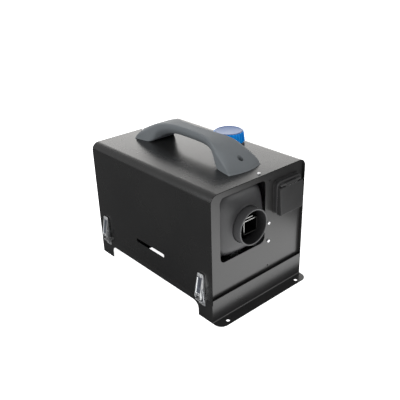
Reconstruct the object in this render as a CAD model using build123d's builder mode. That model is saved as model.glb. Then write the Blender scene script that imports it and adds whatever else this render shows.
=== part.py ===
from build123d import *
import math
import os

# Portable diesel air heater: a sheet metal case on a base with four legs, held down by four toggle
# latches, with a carrying handle, a fuel cap, a hot air outlet and a control pod.
# Frame: X to the right seen from the outlet end, Y to the back, Z up, floor at Z = 0.

# ---------------------------------------------------------------- driving dimensions, millimetres
case_length = 390.0
case_width = 262.0
case_top = 276.5
cover_sheet = 1.2
cover_bend = 17.0
seam_height = 42.0
panel_recess = 6.5
panel_sheet = 1.2
panel_gap = 0.5
slot_length = 96.0
slot_height = 8.5
slot_centre_z = 90.25

base_sheet = 1.5
rail_bottom = 30.0
skirt_top = 52.0
leg_width = 42.0
leg_corner = 15.0
rail_ledge = 12.0
flange_depth = 23.6
flange_corner = 18.0
flange_bend = 2.5
flange_hole_radius = 4.0
flange_hole_span = 205.0
flange_hole_setback = 13.5

tray_sheet = 1.2
tray_lip = 14.0
vent_x = (-110.0, -52.0)
vent_y = (-30.0, 66.0)
return_depth = 12.0
return_start = 62.0
return_stop_drop = 26.5

window_width = 122.5
window_height = 138.0
window_corner = 12.0
heater_x = -40.75
heater_drop = 85.5

divider_x = 38.0
divider_sheet = 1.2
divider_flange = 13.0
divider_top_gap = 4.0

screw_column_x = 31.5
screw_low_heights = (62.0, 120.3, 162.0)
screw_top_drop = 20.5
ledge_screw_setback = 20.0
top_screw_x = 4.0
screw_setback = 10.0
screw_head_radius = 3.6
screw_head_height = 2.4
screw_radius = 2.0
screw_length = 7.0
screw_slot_width = 1.0
screw_slot_depth = 1.0

gland_x = -95.0
gland_z = 75.0
gland_reach = 30.1
gland_thread_radius = 10.0
gland_nut_flats = 25.0
gland_nut_height = 6.0
gland_bore = 4.5
gland_dome_gap = 1.0

latch_setback = 30.0
latch_wall = 1.2
latch_plate_half = 7.5
latch_plate_bottom = 49.0
latch_plate_top = 98.0
latch_pivot_out = 7.5
latch_pivot_z = 55.0
latch_pin_radius = 1.5
latch_pin_half = 8.8
latch_ear_outer = 6.2
latch_ear_radius = 4.0
lever_inner = 7.0
lever_end_radius = 5.5
lever_tip_z = 104.0
lever_tip_out = 4.6
lever_tab = 7.0
lever_tab_corner = 2.3
lever_flange_back = 3.2
lever_notch = 5.5
bail_pivot_out = 7.0
bail_pivot_z = 73.0
bail_radius = 1.1
bail_top_half = 10.5
bail_bottom_half = 12.5
bail_end_half = 6.5
bail_bar_out = 6.5
bail_bar_z = 42.0
bail_bend = 2.2
running_clearance = 0.06
strike_half = 9.0
strike_bottom = 31.5
strike_ledge = 9.0
latch_seat_gap = 0.3
rivet_radius = 2.2
rivet_head = 1.0
latch_rivet_z = (80.0, 92.0)
strike_rivet_z = 36.0

handle_half_length = 162.0
handle_rise = 50.0
handle_end_half = 44.0
handle_edge_radius = 6.0
# stations from the middle of the handle outwards: share of its half length, of its rise and of
# its greatest half width; then shares of half length and rise for the edge of the finger gap
handle_shares = [(0, 1.0, 0.318), (0.185, 0.992, 0.332), (0.34, 0.978, 0.386)]
handle_shares += [(0.494, 0.924, 0.557), (0.617, 0.816, 0.739), (0.741, 0.64, 0.877)]
handle_shares += [(0.864, 0.41, 0.959), (1.01, 0.034, 1.0)]
handle_gap_shares = [(0.309, 0.56), (0.432, 0.452), (0.549, 0.27), (0.63, 0.0)]
handle_shoulder_share = 0.944
handle_corner_share = 0.8
handle_screw_setback = 23.0
handle_screw_seat = 8.0
handle_recess_radius = 6.0
handle_screw_radius = 2.5
handle_screw_head = 5.0
handle_screw_head_height = 3.0

neck_x = 87.0
neck_y = -17.0
neck_radius = 24.0
neck_wall = 2.5
neck_hole_gap = 1.5
neck_height = 15.5
cap_bottom_rise = 4.1
cap_height = 22.9
cap_bottom_radius = 34.2
cap_top_radius = 31.3
cap_wall = 2.5
cap_grip_wall = 1.0
cap_rib_radius = 1.3
cap_rib_count = 30
cap_thread_wall = 3.0
cap_clearance = 0.3
cap_edge = 1.5
seal_thickness = 1.2
seal_width = 4.0

pod_x = 79.2
gasket_width = 75.5
gasket_height = 73.0
pod_drop = 62.5
gasket_thickness = 2.0
gasket_corner = 9.0
pod_inset = 1.5
pod_depth = 8.0
pocket_width = 62.0
pocket_height = 50.0
pocket_below = 6.5
pod_corner = 8.0
lid_width = 68.5
lid_below = 34.5
lid_above = 23.5
lid_top_depth = 7.0
lid_bottom_depth = 11.0
lid_wall = 2.5
lid_gap = 0.3
pocket_corner = 3.0
lid_edge = 1.5
lid_pin_above = 27.5
lid_pin_out = 3.0
lid_pin_radius = 1.2
lid_barrel_radius = 2.7
lid_barrel_half = 17.0
pod_barrel_outer = 29.0
controller_depth = 7.5
controller_gap = 0.3
screen_width = 44.0
screen_height = 24.0
screen_thickness = 0.8
screen_above = 2.0
button_radius = 4.0
button_gap = 0.25
button_proud = 2.0
button_depth = 3.3
button_well = 4.6
button_edge = 0.6
button_pitch = 14.5
buttons_below = 22.5
wire_hole_radius = 8.0

hood_gap = 2.0
hood_corner = 24.0
hood_edge = 11.0
hood_wall = 2.5
hood_inset = 0.5
hood_face_recess = 2.5
collar_shift = 8.45
collar_drop = 7.5
collar_radius = 37.5
collar_wall = 3.0
collar_reach = 20.5
collar_base_radius = 40.5
collar_base_thickness = 3.0
collar_spigot_gap = 0.3
spigot_length = 3.5

casing_width = 128.0
casing_height = 142.0
casing_corner = 30.0
casing_wall = 2.5
casing_front_setback = 45.0
casing_back_setback = 30.0
core_width = 64.0
core_height = 74.0
core_corner = 10.0
core_wall = 4.0
core_front_setback = 55.0
core_back_setback = 135.0
fin_thickness = 2.0
fin_gap = 7.5
fin_pitch = 9.0
fin_count = 7
nose_width = 36.0
nose_height = 29.0
nose_wall = 1.5
nose_reach = 10.5
nose_fins = 3
nose_fin_setback = 22.0
nose_shelf_width = 24.0
nose_shelf_gap = 4.2
burner_radius = 24.0
burner_wall = 1.5
burner_length = 130.0
burner_flange = 6.0
plug_radius = 5.0
plug_tip_radius = 2.5
plug_tip_reach = 6.0
plug_hex_half = 6.0
plug_hex_height = 5.0
plug_setback = 8.0
impeller_gap = 5.0
impeller_thickness = 9.0
impeller_radius = 26.0
impeller_blades = 12
blade_thickness = 1.6
motor_radius = 28.0
motor_length = 64.0
motor_back_gap = 17.0
motor_plate_offset = 16.0
motor_plate_thickness = 3.0
motor_plate_gap = 0.3
shaft_radius = 3.0
fan_back_gap = 15.5
fan_depth = 11.0
fan_hub_radius = 12.0
fan_radius = 56.0
fan_blades = 7
fan_pitch_angle = 35.0
grille_radius = 64.0
grille_thickness = 2.5
grille_hole = 58.0
grille_ring_width = 2.2
grille_rings = 4
grille_spokes = 6
grille_spoke_width = 4.0
grille_duct_wall = 2.0
grille_duct_gap = 1.0
grille_duct_end_gap = 1.0

exhaust_y = -45.0
exhaust_radius = 12.0
air_intake_y = 18.0
air_intake_radius = 12.5
pipe_wall = 1.5
pipe_end_z = 14.0
pipe_grip = 24.0
pipe_bead = 1.2
pipe_bead_width = 3.0
pipe_gap = 0.2
pipe_fin_gap = 1.0
pipe_hole_radius = 18.0
cradle_y = (-120.0, 133.0)
cradle_depth = 28.0
cradle_sheet = 2.0
cradle_half = 58.0
cradle_foot = 12.0
control_unit_y = (20.0, 110.0)
control_unit_z = (140.0, 200.0)
control_unit_depth = 12.0

tank_x = (42.0, 124.0)
tank_end_gap = 45.0
tank_headroom = 36.3
tank_wall = 2.5
tank_corner = 14.0
tank_edge = 7.0
strap_y = 70.0
strap_width = 20.0
strap_sheet = 1.2
strap_drop = 40.0
fuel_z = 62.0
line_x = -10.0
outlet_y = 125.0
outlet_flange_radius = 7.5
outlet_pass_gap = 1.5
outlet_face_x = 37.0
outlet_nipple_x = 24.0
line_bore = 1.5
hose_radius = 2.5
hose_turn = 26.0
pump_turn = 23.5
filter_y = (62.0, 90.0)
filter_radius = 11.0
pump_y = (-45.0, 35.0)
pump_radius = 15.0
nipple_length = 8.0
clip_width = 18.0
clip_wall = 2.0
inlet_y = -78.0
inlet_drop = 14.0
inlet_boss = 4.0
hose_end_gap = 1.0

# ---------------------------------------------------------------- places worked out from them
half_length = case_length / 2
half_width = case_width / 2
cover_under = case_top - cover_sheet
cover_inside = half_width - cover_sheet
panel_half = cover_inside - panel_gap
panel_out = half_length - panel_recess
panel_in = panel_out - panel_sheet
tray_top = seam_height + tray_sheet
latch_ear_inner = latch_ear_outer - latch_wall
lever_outer = lever_inner + latch_wall
tank_top_z = case_top - tank_headroom
tank_height = tank_top_z - tray_top
tank_half_length = half_length - tank_end_gap
neck_top_z = case_top + neck_height
cap_bottom_z = case_top + cap_bottom_rise
cap_top_z = cap_bottom_z + cap_height
hood_front_y = panel_out - hood_face_recess
collar_front_y = panel_out + collar_reach
pod_face = panel_out + gasket_thickness + pod_depth
lid_back = pod_face + lid_gap
lid_pin_y = -(pod_face + lid_pin_out)
controller_face = panel_out + controller_depth
heater_z = case_top - heater_drop
heater_bottom = heater_z - casing_height / 2
core_bottom = heater_z - core_height / 2
divider_top_z = cover_under - divider_top_gap
latch_y = half_length - latch_setback
screw_heights = screw_low_heights + (case_top - screw_top_drop,)
return_stop = case_top - return_stop_drop
pod_z = case_top - pod_drop
pocket_centre_z = pod_z - pocket_below
lid_bottom_z = pod_z - lid_below
lid_top_z = pod_z + lid_above
lid_pin_z = pod_z + lid_pin_above
screen_centre_z = pod_z + screen_above
button_z = pod_z - buttons_below
collar_x = heater_x + collar_shift
collar_z = heater_z - collar_drop
casing_front_y = casing_front_setback - half_length
casing_back_y = half_length - casing_back_setback
core_front_y = core_front_setback - half_length
core_back_y = half_length - core_back_setback
nose_front_y = -(panel_out + nose_reach)
burner_front_y = core_back_y - burner_length
plug_y = core_back_y - plug_setback
motor_back_y = casing_back_y - motor_back_gap
motor_front_y = motor_back_y - motor_length
motor_plate_y = motor_front_y + motor_plate_offset
fan_front_y = casing_back_y - fan_back_gap
grille_duct_start = casing_back_y + grille_duct_end_gap
handle_screw_y = handle_half_length - handle_screw_setback


# ---------------------------------------------------------------- shared shapes
def block(x, y, z, mode=Mode.ADD):
    """A square-edged block between pairs of limits."""
    centre = ((x[0] + x[1]) / 2, (y[0] + y[1]) / 2, (z[0] + z[1]) / 2)
    with Locations(centre):
        Box(x[1] - x[0], y[1] - y[0], z[1] - z[0], mode=mode)


def front_plane(x, y, z):
    """A plane that faces the outlet end."""
    return Plane(origin=(x, y, z), x_dir=(1, 0, 0), z_dir=(0, -1, 0))


def side_plane(x, y, z):
    """A plane that faces the right-hand side."""
    return Plane(origin=(x, y, z), x_dir=(0, 1, 0), z_dir=(1, 0, 0))


def rod(plane, radius, length, inner=0.0, mode=Mode.ADD):
    """A round bar or tube that grows from a plane along its normal."""
    with BuildSketch(plane) as section:
        Circle(radius)
        if inner > 0:
            Circle(inner, mode=Mode.SUBTRACT)
    extrude(section.sketch, amount=length, mode=mode)


def bore(plane, radius, length):
    """A round hole cut from a plane along its normal."""
    rod(plane, radius, length, mode=Mode.SUBTRACT)


def rounded_bar(plane, width, height, corner, length, mode=Mode.ADD):
    """A bar with a rounded rectangle as its section."""
    with BuildSketch(plane) as section:
        RectangleRounded(width, height, corner)
    extrude(section.sketch, amount=length, mode=mode)


def save(builder, name):
    """Label a finished piece and write it."""
    builder.part.label = name
    export_step(builder.part, "parts/" + name + ".step")


os.makedirs("parts", exist_ok=True)

# ---------------------------------------------------------------- base frame
# One bent sheet: skirts at both ends, rails with a ledge for the tray, a leg at each corner and a
# flange at the front with two holes.
skirt_half = panel_half
rail_inner = half_width - base_sheet
leg_inner = half_length - leg_width
ledge_screw_x = rail_inner - rail_ledge / 2
ledge_screw_y = half_length - ledge_screw_setback
ledge_screws = [(x, y) for x in (-ledge_screw_x, ledge_screw_x) for y in (-ledge_screw_y, ledge_screw_y)]
with BuildPart() as base_frame:
    for end in (-1, 1):
        skirt_y = sorted((end * half_length, end * (half_length - base_sheet)))
        block((-half_width, half_width), skirt_y, (0, seam_height))
        block((-skirt_half, skirt_half), skirt_y, (seam_height, skirt_top))
    for side in (-1, 1):
        rail_x = sorted((side * half_width, side * rail_inner))
        ledge_x = sorted((side * rail_inner, side * (rail_inner - rail_ledge)))
        block(rail_x, (-half_length, half_length), (0, seam_height))
        ledge_y = (-half_length + base_sheet, half_length - base_sheet)
        block(ledge_x, ledge_y, (seam_height - base_sheet, seam_height))
    with BuildSketch(Plane.YZ.offset(-half_width)) as leg_gap:
        with BuildLine():
            Polyline(
                (-leg_inner, -rail_bottom),
                (-leg_inner, rail_bottom),
                (leg_inner, rail_bottom),
                (leg_inner, -rail_bottom),
                close=True,
            )
        make_face()
        fillet(leg_gap.vertices().group_by(Axis.Y)[-1], leg_corner)
    extrude(amount=case_width, mode=Mode.SUBTRACT)
    with BuildSketch() as flange_outline:
        with BuildLine():
            Polyline(
                (-half_width, -half_length + base_sheet),
                (-half_width, -half_length - flange_depth),
                (half_width, -half_length - flange_depth),
                (half_width, -half_length + base_sheet),
                close=True,
            )
        make_face()
        fillet(flange_outline.vertices().group_by(Axis.Y)[0], flange_corner)
        with Locations((0, -half_length - flange_hole_setback)):
            with GridLocations(flange_hole_span, 0, 2, 1):
                Circle(flange_hole_radius, mode=Mode.SUBTRACT)
    extrude(amount=base_sheet)
    with BuildSketch(Plane.YZ.offset(-half_width)) as bend_fill:
        with Locations((-half_length - flange_bend / 2, base_sheet + flange_bend / 2)):
            Rectangle(flange_bend, flange_bend)
        with Locations((-half_length - flange_bend, base_sheet + flange_bend)):
            Circle(flange_bend, mode=Mode.SUBTRACT)
    extrude(bend_fill.sketch, amount=case_width)
    for x, y in ledge_screws:
        bore(Plane((x, y, 0)), screw_radius, seam_height)
save(base_frame, "base_frame")

# ---------------------------------------------------------------- floor tray
# A shallow pan that rests on the ledges of the rails and closes the case from below.
with BuildPart() as floor_tray:
    block((-panel_half, panel_half), (-panel_in, panel_in), (seam_height, seam_height + tray_lip))
    block(
        (-panel_half + tray_sheet, panel_half - tray_sheet),
        (-panel_in + tray_sheet, panel_in - tray_sheet),
        (tray_top, seam_height + tray_lip),
        mode=Mode.SUBTRACT,
    )
    block(vent_x, vent_y, (0, tray_top), mode=Mode.SUBTRACT)
    for pipe_y in (exhaust_y, air_intake_y):
        bore(Plane((heater_x, pipe_y, 0)), pipe_hole_radius, tray_top)
    for x, y in ledge_screws:
        bore(Plane((x, y, 0)), screw_radius, tray_top)
save(floor_tray, "floor_tray")


# ---------------------------------------------------------------- end panels
def end_panel_blank(end):
    """A plate that fills the end of the cover, with its top and sides turned inwards."""
    corner = cover_bend - cover_sheet - panel_gap
    outer = end * panel_out
    inner = end * (panel_out - return_depth)
    y = sorted((outer, inner))
    height = cover_under - tray_top
    middle_z = tray_top + height / 2
    with BuildSketch(front_plane(0, y[1], middle_z)) as blank:
        RectangleRounded(2 * panel_half, height, corner)
        with Locations((0, -height / 4)):
            Rectangle(2 * panel_half, height / 2)
    extrude(blank.sketch, amount=y[1] - y[0])
    cut_y = sorted((end * panel_in, end * (panel_out - 2 * return_depth)))
    inside_x = (-panel_half + panel_sheet, panel_half - panel_sheet)
    block(inside_x, cut_y, (0, cover_under - panel_sheet), mode=Mode.SUBTRACT)
    for side in (-1, 1):
        side_x = sorted((side * (panel_half - cover_bend), side * half_width))
        block(side_x, cut_y, (0, return_start), mode=Mode.SUBTRACT)
        block(side_x, cut_y, (return_stop, case_top), mode=Mode.SUBTRACT)


def end_panel_holes(end):
    """Holes for the screws of the divider and for the screw through the top."""
    face = front_plane(0, panel_out if end > 0 else -panel_in, 0)
    with BuildSketch(face) as holes:
        for z in screw_heights:
            with Locations((screw_column_x, z)):
                Circle(screw_radius)
    extrude(holes.sketch, amount=panel_sheet, mode=Mode.SUBTRACT)
    under_flange = Plane((top_screw_x, end * (half_length - screw_setback), cover_under - panel_sheet))
    bore(under_flange, screw_radius, panel_sheet)


with BuildPart() as front_panel:
    end_panel_blank(-1)
    end_panel_holes(-1)
    rounded_bar(
        front_plane(heater_x, -panel_in, heater_z),
        window_width,
        window_height,
        window_corner,
        panel_sheet,
        Mode.SUBTRACT,
    )
    bore(front_plane(pod_x, -panel_in, pod_z), wire_hole_radius, panel_sheet)
save(front_panel, "front_panel")

with BuildPart() as rear_panel:
    end_panel_blank(1)
    end_panel_holes(1)
    bore(front_plane(heater_x, panel_out, heater_z), grille_hole, panel_sheet)
    bore(front_plane(gland_x, panel_out, gland_z), gland_thread_radius, panel_sheet)
save(rear_panel, "rear_panel")

# ---------------------------------------------------------------- cover
# An inverted U of painted sheet with rounded long edges and a slot low in its left side.
with BuildPart() as cover:
    with BuildSketch(Plane.XZ.offset(-half_length)) as cover_section:
        with BuildLine():
            Polyline(
                (-half_width, seam_height),
                (-half_width, case_top),
                (half_width, case_top),
                (half_width, seam_height),
                close=True,
            )
        make_face()
        fillet(cover_section.vertices().group_by(Axis.Y)[-1], cover_bend)
        with BuildLine():
            Polyline(
                (-cover_inside, seam_height),
                (-cover_inside, cover_under - cover_bend + cover_sheet),
                (-cover_inside + cover_bend - cover_sheet, cover_under),
                (cover_inside - cover_bend + cover_sheet, cover_under),
                (cover_inside, cover_under - cover_bend + cover_sheet),
                (cover_inside, seam_height),
                close=True,
            )
        make_face(mode=Mode.SUBTRACT)
        for side in (-1, 1):
            with Locations((side * (half_width - cover_bend), case_top - cover_bend)):
                Circle(cover_bend - cover_sheet, mode=Mode.SUBTRACT)
    extrude(amount=case_length)
    with BuildSketch(side_plane(-half_width, 0, slot_centre_z)):
        RectangleRounded(slot_length, slot_height, slot_height / 3)
    extrude(amount=cover_sheet, mode=Mode.SUBTRACT)
    bore(Plane((neck_x, neck_y, cover_under)), neck_radius + neck_hole_gap, cover_sheet)
    for end in (-1, 1):
        bore(Plane((0, end * handle_screw_y, cover_under)), handle_screw_radius, cover_sheet)
        rod(
            Plane((top_screw_x, end * (half_length - screw_setback), cover_under)),
            screw_radius,
            cover_sheet,
            mode=Mode.SUBTRACT,
        )
save(cover, "cover")

# ---------------------------------------------------------------- divider
# A partition with a flange at each end, screwed to both end panels through the column of screws.
with BuildPart() as divider:
    block((divider_x, divider_x + divider_sheet), (-panel_in, panel_in), (tray_top, divider_top_z))
    flange_x = (divider_x - divider_flange, divider_x)
    foot_y = (-panel_in + divider_flange, panel_in - divider_flange)
    block(flange_x, foot_y, (tray_top, tray_top + divider_sheet))
    for end in (-1, 1):
        flange_y = sorted((end * panel_in, end * (panel_in - divider_sheet)))
        block(flange_x, flange_y, (tray_top, divider_top_z))
        lip_y = sorted((end * panel_in, end * (panel_in - tray_sheet)))
        lip_x = (divider_x - divider_flange, divider_x + divider_sheet)
        block(lip_x, lip_y, (0, seam_height + tray_lip), mode=Mode.SUBTRACT)
        for z in screw_heights:
            bore(front_plane(screw_column_x, flange_y[1], z), screw_radius, divider_sheet)
    pass_radius = outlet_flange_radius + outlet_pass_gap
    bore(side_plane(divider_x, outlet_y, fuel_z), pass_radius, divider_sheet)
save(divider, "divider")


# ---------------------------------------------------------------- case screws
def pan_screw(plane, head_radius, head_height, shank_radius, shank_length):
    """A pan head screw whose head stands on the plane, with a cross recess."""
    with BuildPart(mode=Mode.PRIVATE) as screw:
        rod(plane, head_radius, head_height)
        fillet(screw.edges().sort_by(Axis(plane.origin, plane.z_dir))[-1], head_height / 2)
        with BuildSketch(plane.offset(head_height)) as cross:
            Rectangle(head_radius, screw_slot_width)
            Rectangle(screw_slot_width, head_radius)
        extrude(cross.sketch, amount=-screw_slot_depth, mode=Mode.SUBTRACT)
        rod(plane, shank_radius, -shank_length)
    return screw.part


def case_screw(plane):
    """One of the screws of the case."""
    return pan_screw(plane, screw_head_radius, screw_head_height, screw_radius, screw_length)


with BuildPart() as case_screws:
    for end in (-1, 1):
        for z in screw_heights[1:3]:
            head_origin = (screw_column_x, end * panel_out, z)
            add(case_screw(Plane(origin=head_origin, x_dir=(1, 0, 0), z_dir=(0, end, 0))))
        add(case_screw(Plane((top_screw_x, end * (half_length - screw_setback), case_top))))
    for x, y in ledge_screws:
        under_ledge = (x, y, seam_height - base_sheet)
        add(case_screw(Plane(origin=under_ledge, x_dir=(1, 0, 0), z_dir=(0, 0, -1))))
save(case_screws, "case_screws")

# ---------------------------------------------------------------- cable gland
# A threaded body with a nut on each side of the rear panel and a domed clamping nut.
with BuildPart() as cable_gland:
    gland_face = Plane(origin=(gland_x, panel_out, gland_z), x_dir=(1, 0, 0), z_dir=(0, 1, 0))
    with BuildSketch(gland_face):
        RegularPolygon(gland_nut_flats / 2, 6, major_radius=False)
    extrude(amount=gland_nut_height)
    with BuildSketch(gland_face.offset(-panel_sheet - gland_nut_height)):
        RegularPolygon(gland_nut_flats / 2, 6, major_radius=False)
    extrude(amount=gland_nut_height)
    thread_start = gland_face.offset(-panel_sheet - 2 * gland_nut_height)
    rod(thread_start, gland_thread_radius, gland_reach - gland_nut_height)
    dome_start = gland_nut_height + gland_dome_gap
    rod(gland_face.offset(dome_start), gland_nut_flats / 2, gland_reach - dome_start)
    dome_edge = cable_gland.edges().sort_by(Axis.Y)[-1]
    fillet(dome_edge, gland_nut_flats / 4)
    bore(gland_face.offset(-gland_reach), gland_bore, 2 * gland_reach)
save(cable_gland, "cable_gland")


# ---------------------------------------------------------------- toggle latches
# Each is modelled on the left wall at Y = 0 and then set in its place.
def on_wall(shape, side, y):
    """Move a piece of a latch to its place, mirrored for the right wall."""
    placed = Pos(0, y, 0) * shape
    if side > 0:
        placed = mirror(placed, about=Plane.YZ)
    return placed


def wall_profile(points):
    """A closed outline in the plane Y = 0, from distances outside the left wall and heights."""
    with BuildSketch(Plane.XZ, mode=Mode.PRIVATE) as outline:
        with BuildLine():
            Polyline(*[(-half_width - out, z) for out, z in points], close=True)
        make_face()
    return outline.sketch


def latch_axis_plane(out, y, z):
    """A plane across a latch pin, outside the left wall."""
    return front_plane(-half_width - out, y, z)


def latch_base_shape():
    """Plate with two ears that carry the pin of the lever."""
    with BuildPart(mode=Mode.PRIVATE) as piece:
        block(
            (-half_width - latch_wall, -half_width),
            (-latch_plate_half, latch_plate_half),
            (latch_plate_bottom, latch_plate_top),
        )
        for side in (-1, 1):
            ear_y = (side * (latch_ear_inner + latch_ear_outer) + latch_wall) / 2
            block(
                (-half_width - latch_pivot_out, -half_width),
                (ear_y - latch_wall, ear_y),
                (latch_pivot_z - latch_ear_radius, latch_pivot_z + latch_ear_radius),
            )
            rod(latch_axis_plane(latch_pivot_out, ear_y, latch_pivot_z), latch_ear_radius, latch_wall)
        rod(
            latch_axis_plane(latch_pivot_out, latch_pin_half, latch_pivot_z),
            latch_pin_radius,
            2 * latch_pin_half,
            mode=Mode.SUBTRACT,
        )
    return piece.part


def latch_pin_shape():
    """Straight pin through the ears and the lever."""
    with BuildPart(mode=Mode.PRIVATE) as piece:
        pin_start = latch_axis_plane(latch_pivot_out, latch_pin_half, latch_pivot_z)
        rod(pin_start, latch_pin_radius, 2 * latch_pin_half)
    return piece.part


def latch_strike_shape():
    """Plate on the rail whose top is bent out into a ledge over the bar of the bail."""
    ledge_bottom = bail_bar_z + bail_radius + latch_seat_gap
    with BuildPart(mode=Mode.PRIVATE) as piece:
        wall_x = (-half_width - latch_wall, -half_width)
        ledge_x = (-half_width - strike_ledge, -half_width)
        block(wall_x, (-strike_half, strike_half), (strike_bottom, ledge_bottom + latch_wall))
        block(ledge_x, (-strike_half, strike_half), (ledge_bottom, ledge_bottom + latch_wall))
    return piece.part


def latch_rivet_shape(z):
    """Domed head and shank of a rivet through a plate and the sheet behind it."""
    with BuildPart(mode=Mode.PRIVATE) as piece:
        outward = Plane(origin=(-half_width - latch_wall, 0, z), x_dir=(0, 1, 0), z_dir=(-1, 0, 0))
        rod(outward, rivet_radius, rivet_head)
        fillet(piece.edges().sort_by(Axis.X)[0], rivet_head * 0.6)
    return piece.part


def latch_lever_shape():
    """Pressed channel: a sloping outer plate, two side flanges with the pin holes, a flat finger tab."""
    lower_out = latch_pivot_out + lever_end_radius
    middle_z = bail_pivot_z
    slope = (lever_tip_out - lower_out) / (lever_tip_z - latch_pivot_z)
    middle_out = lower_out + slope * (middle_z - latch_pivot_z)
    tab_z = lever_tip_z - lever_tab
    tab_out = lower_out + slope * (tab_z - latch_pivot_z)
    flange = [
        (lower_out, latch_pivot_z),
        (middle_out, middle_z),
        (tab_out, tab_z),
        (lever_flange_back, tab_z),
        (lever_flange_back, latch_pivot_z + lever_end_radius),
        (latch_pivot_out, latch_pivot_z),
    ]
    plate = [
        (lower_out, latch_pivot_z),
        (lever_tip_out, lever_tip_z),
        (lever_tip_out - latch_wall, lever_tip_z),
        (lower_out - latch_wall, latch_pivot_z),
    ]
    with BuildPart(mode=Mode.PRIVATE) as piece:
        extrude(wall_profile(flange), amount=lever_outer, both=True)
        rod(latch_axis_plane(latch_pivot_out, lever_outer, latch_pivot_z), lever_end_radius, 2 * lever_outer)
        block(
            (-half_width - 2 * lower_out, -half_width),
            (-lever_inner, lever_inner),
            (0, case_top),
            mode=Mode.SUBTRACT,
        )
        extrude(wall_profile(plate), amount=lever_outer, both=True)
        block(
            (-half_width - 2 * lower_out, -half_width),
            (-lever_inner, lever_inner),
            (0, latch_pivot_z + lever_notch),
            mode=Mode.SUBTRACT,
        )
        rod(
            latch_axis_plane(latch_pivot_out, lever_outer, latch_pivot_z),
            latch_pin_radius + running_clearance,
            2 * lever_outer,
            mode=Mode.SUBTRACT,
        )
        rod(
            latch_axis_plane(bail_pivot_out, lever_outer, bail_pivot_z),
            bail_radius + running_clearance,
            2 * lever_outer,
            mode=Mode.SUBTRACT,
        )
        tip_edges = piece.edges().group_by(Axis.Z)[-1]
        tab_corners = tip_edges.sort_by(Axis.Y)
        fillet(ShapeList([tab_corners[0], tab_corners[-1]]), lever_tab_corner)
    return piece.part


def latch_bail_shape():
    """Bent wire whose ends turn in through the flanges of the lever."""
    top_x = -half_width - bail_pivot_out
    bar_x = -half_width - bail_bar_out
    with BuildPart(mode=Mode.PRIVATE) as piece:
        with BuildLine() as wire:
            FilletPolyline(
                (top_x, -bail_end_half, bail_pivot_z),
                (top_x, -bail_top_half, bail_pivot_z),
                (bar_x, -bail_bottom_half, bail_bar_z),
                (bar_x, bail_bottom_half, bail_bar_z),
                (top_x, bail_top_half, bail_pivot_z),
                (top_x, bail_end_half, bail_pivot_z),
                radius=bail_bend,
            )
        with BuildSketch(Plane(origin=(top_x, -bail_end_half, bail_pivot_z), z_dir=(0, -1, 0))) as section:
            Circle(bail_radius)
        sweep(section.sketch, path=wire.line)
    return piece.part


latch_places = [
    ("front_left", -1, -latch_y),
    ("front_right", 1, -latch_y),
    ("rear_left", -1, latch_y),
    ("rear_right", 1, latch_y),
]
base_shape = latch_base_shape()
pin_shape = latch_pin_shape()
strike_shape = latch_strike_shape()
rivet_shapes = [latch_rivet_shape(z) for z in latch_rivet_z + (strike_rivet_z,)]
lever_shape = latch_lever_shape()
bail_shape = latch_bail_shape()

with BuildPart() as latch_bases:
    for name, side, y in latch_places:
        add(on_wall(base_shape, side, y))
save(latch_bases, "latch_bases")

with BuildPart() as latch_pins:
    for name, side, y in latch_places:
        add(on_wall(pin_shape, side, y))
save(latch_pins, "latch_pins")

with BuildPart() as latch_strikes:
    for name, side, y in latch_places:
        add(on_wall(strike_shape, side, y))
save(latch_strikes, "latch_strikes")

with BuildPart() as latch_rivets:
    for name, side, y in latch_places:
        for rivet_shape in rivet_shapes:
            add(on_wall(rivet_shape, side, y))
save(latch_rivets, "latch_rivets")

for name, side, y in latch_places:
    with BuildPart() as lever:
        add(on_wall(lever_shape, side, y))
    save(lever, "lever_" + name)
    with BuildPart() as bail:
        add(on_wall(bail_shape, side, y))
    save(bail, "bail_" + name)

# ---------------------------------------------------------------- carrying handle
# A moulded bridge that widens into two feet: a loft through sections with rounded top corners,
# trimmed to a round end at each foot and cut away under the bridge.
def handle_section(y, rise, half):
    """A section across the handle, flat below and rounded at its two top corners."""
    with BuildSketch(front_plane(0, y, case_top), mode=Mode.PRIVATE) as section:
        with Locations((0, rise / 2)):
            Rectangle(2 * half, rise)
        corner = min(handle_edge_radius, handle_corner_share * rise)
        fillet(section.vertices().group_by(Axis.Y)[-1], corner)
    return section.sketch


with BuildPart() as handle:
    sections = []
    mirrored = [(-share, top, half) for share, top, half in reversed(handle_shares[1:])]
    for share, top, half in mirrored + handle_shares:
        y = share * handle_half_length
        sections.append(handle_section(y, top * handle_rise, half * handle_end_half))
    loft(sections)
    with BuildSketch(Plane.XY.offset(case_top)) as handle_plan:
        shoulder_y = handle_shoulder_share * handle_half_length
        with BuildLine():
            Line((handle_end_half, -shoulder_y), (handle_end_half, shoulder_y))
            ThreePointArc(
                (handle_end_half, shoulder_y),
                (0, handle_half_length),
                (-handle_end_half, shoulder_y),
            )
            Line((-handle_end_half, shoulder_y), (-handle_end_half, -shoulder_y))
            ThreePointArc(
                (-handle_end_half, -shoulder_y),
                (0, -handle_half_length),
                (handle_end_half, -shoulder_y),
            )
        make_face()
    extrude(handle_plan.sketch, amount=2 * handle_rise, mode=Mode.INTERSECT)
    with BuildSketch(side_plane(-2 * handle_end_half, 0, case_top)) as finger_gap:
        gap = [(y * handle_half_length, z * handle_rise) for y, z in handle_gap_shares]
        with BuildLine():
            Spline(*gap)
            Spline(*[(-y, z) for y, z in gap])
            Line(gap[0], (-gap[0][0], gap[0][1]))
            Line(gap[-1], (-gap[-1][0], gap[-1][1]))
        make_face()
    extrude(finger_gap.sketch, amount=4 * handle_end_half, mode=Mode.SUBTRACT)
    for end in (-1, 1):
        well = Plane((0, end * handle_screw_y, case_top + handle_screw_seat))
        bore(well, handle_recess_radius, handle_rise)
        bore(Plane((0, end * handle_screw_y, case_top)), handle_screw_radius, handle_rise)
save(handle, "handle")

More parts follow.
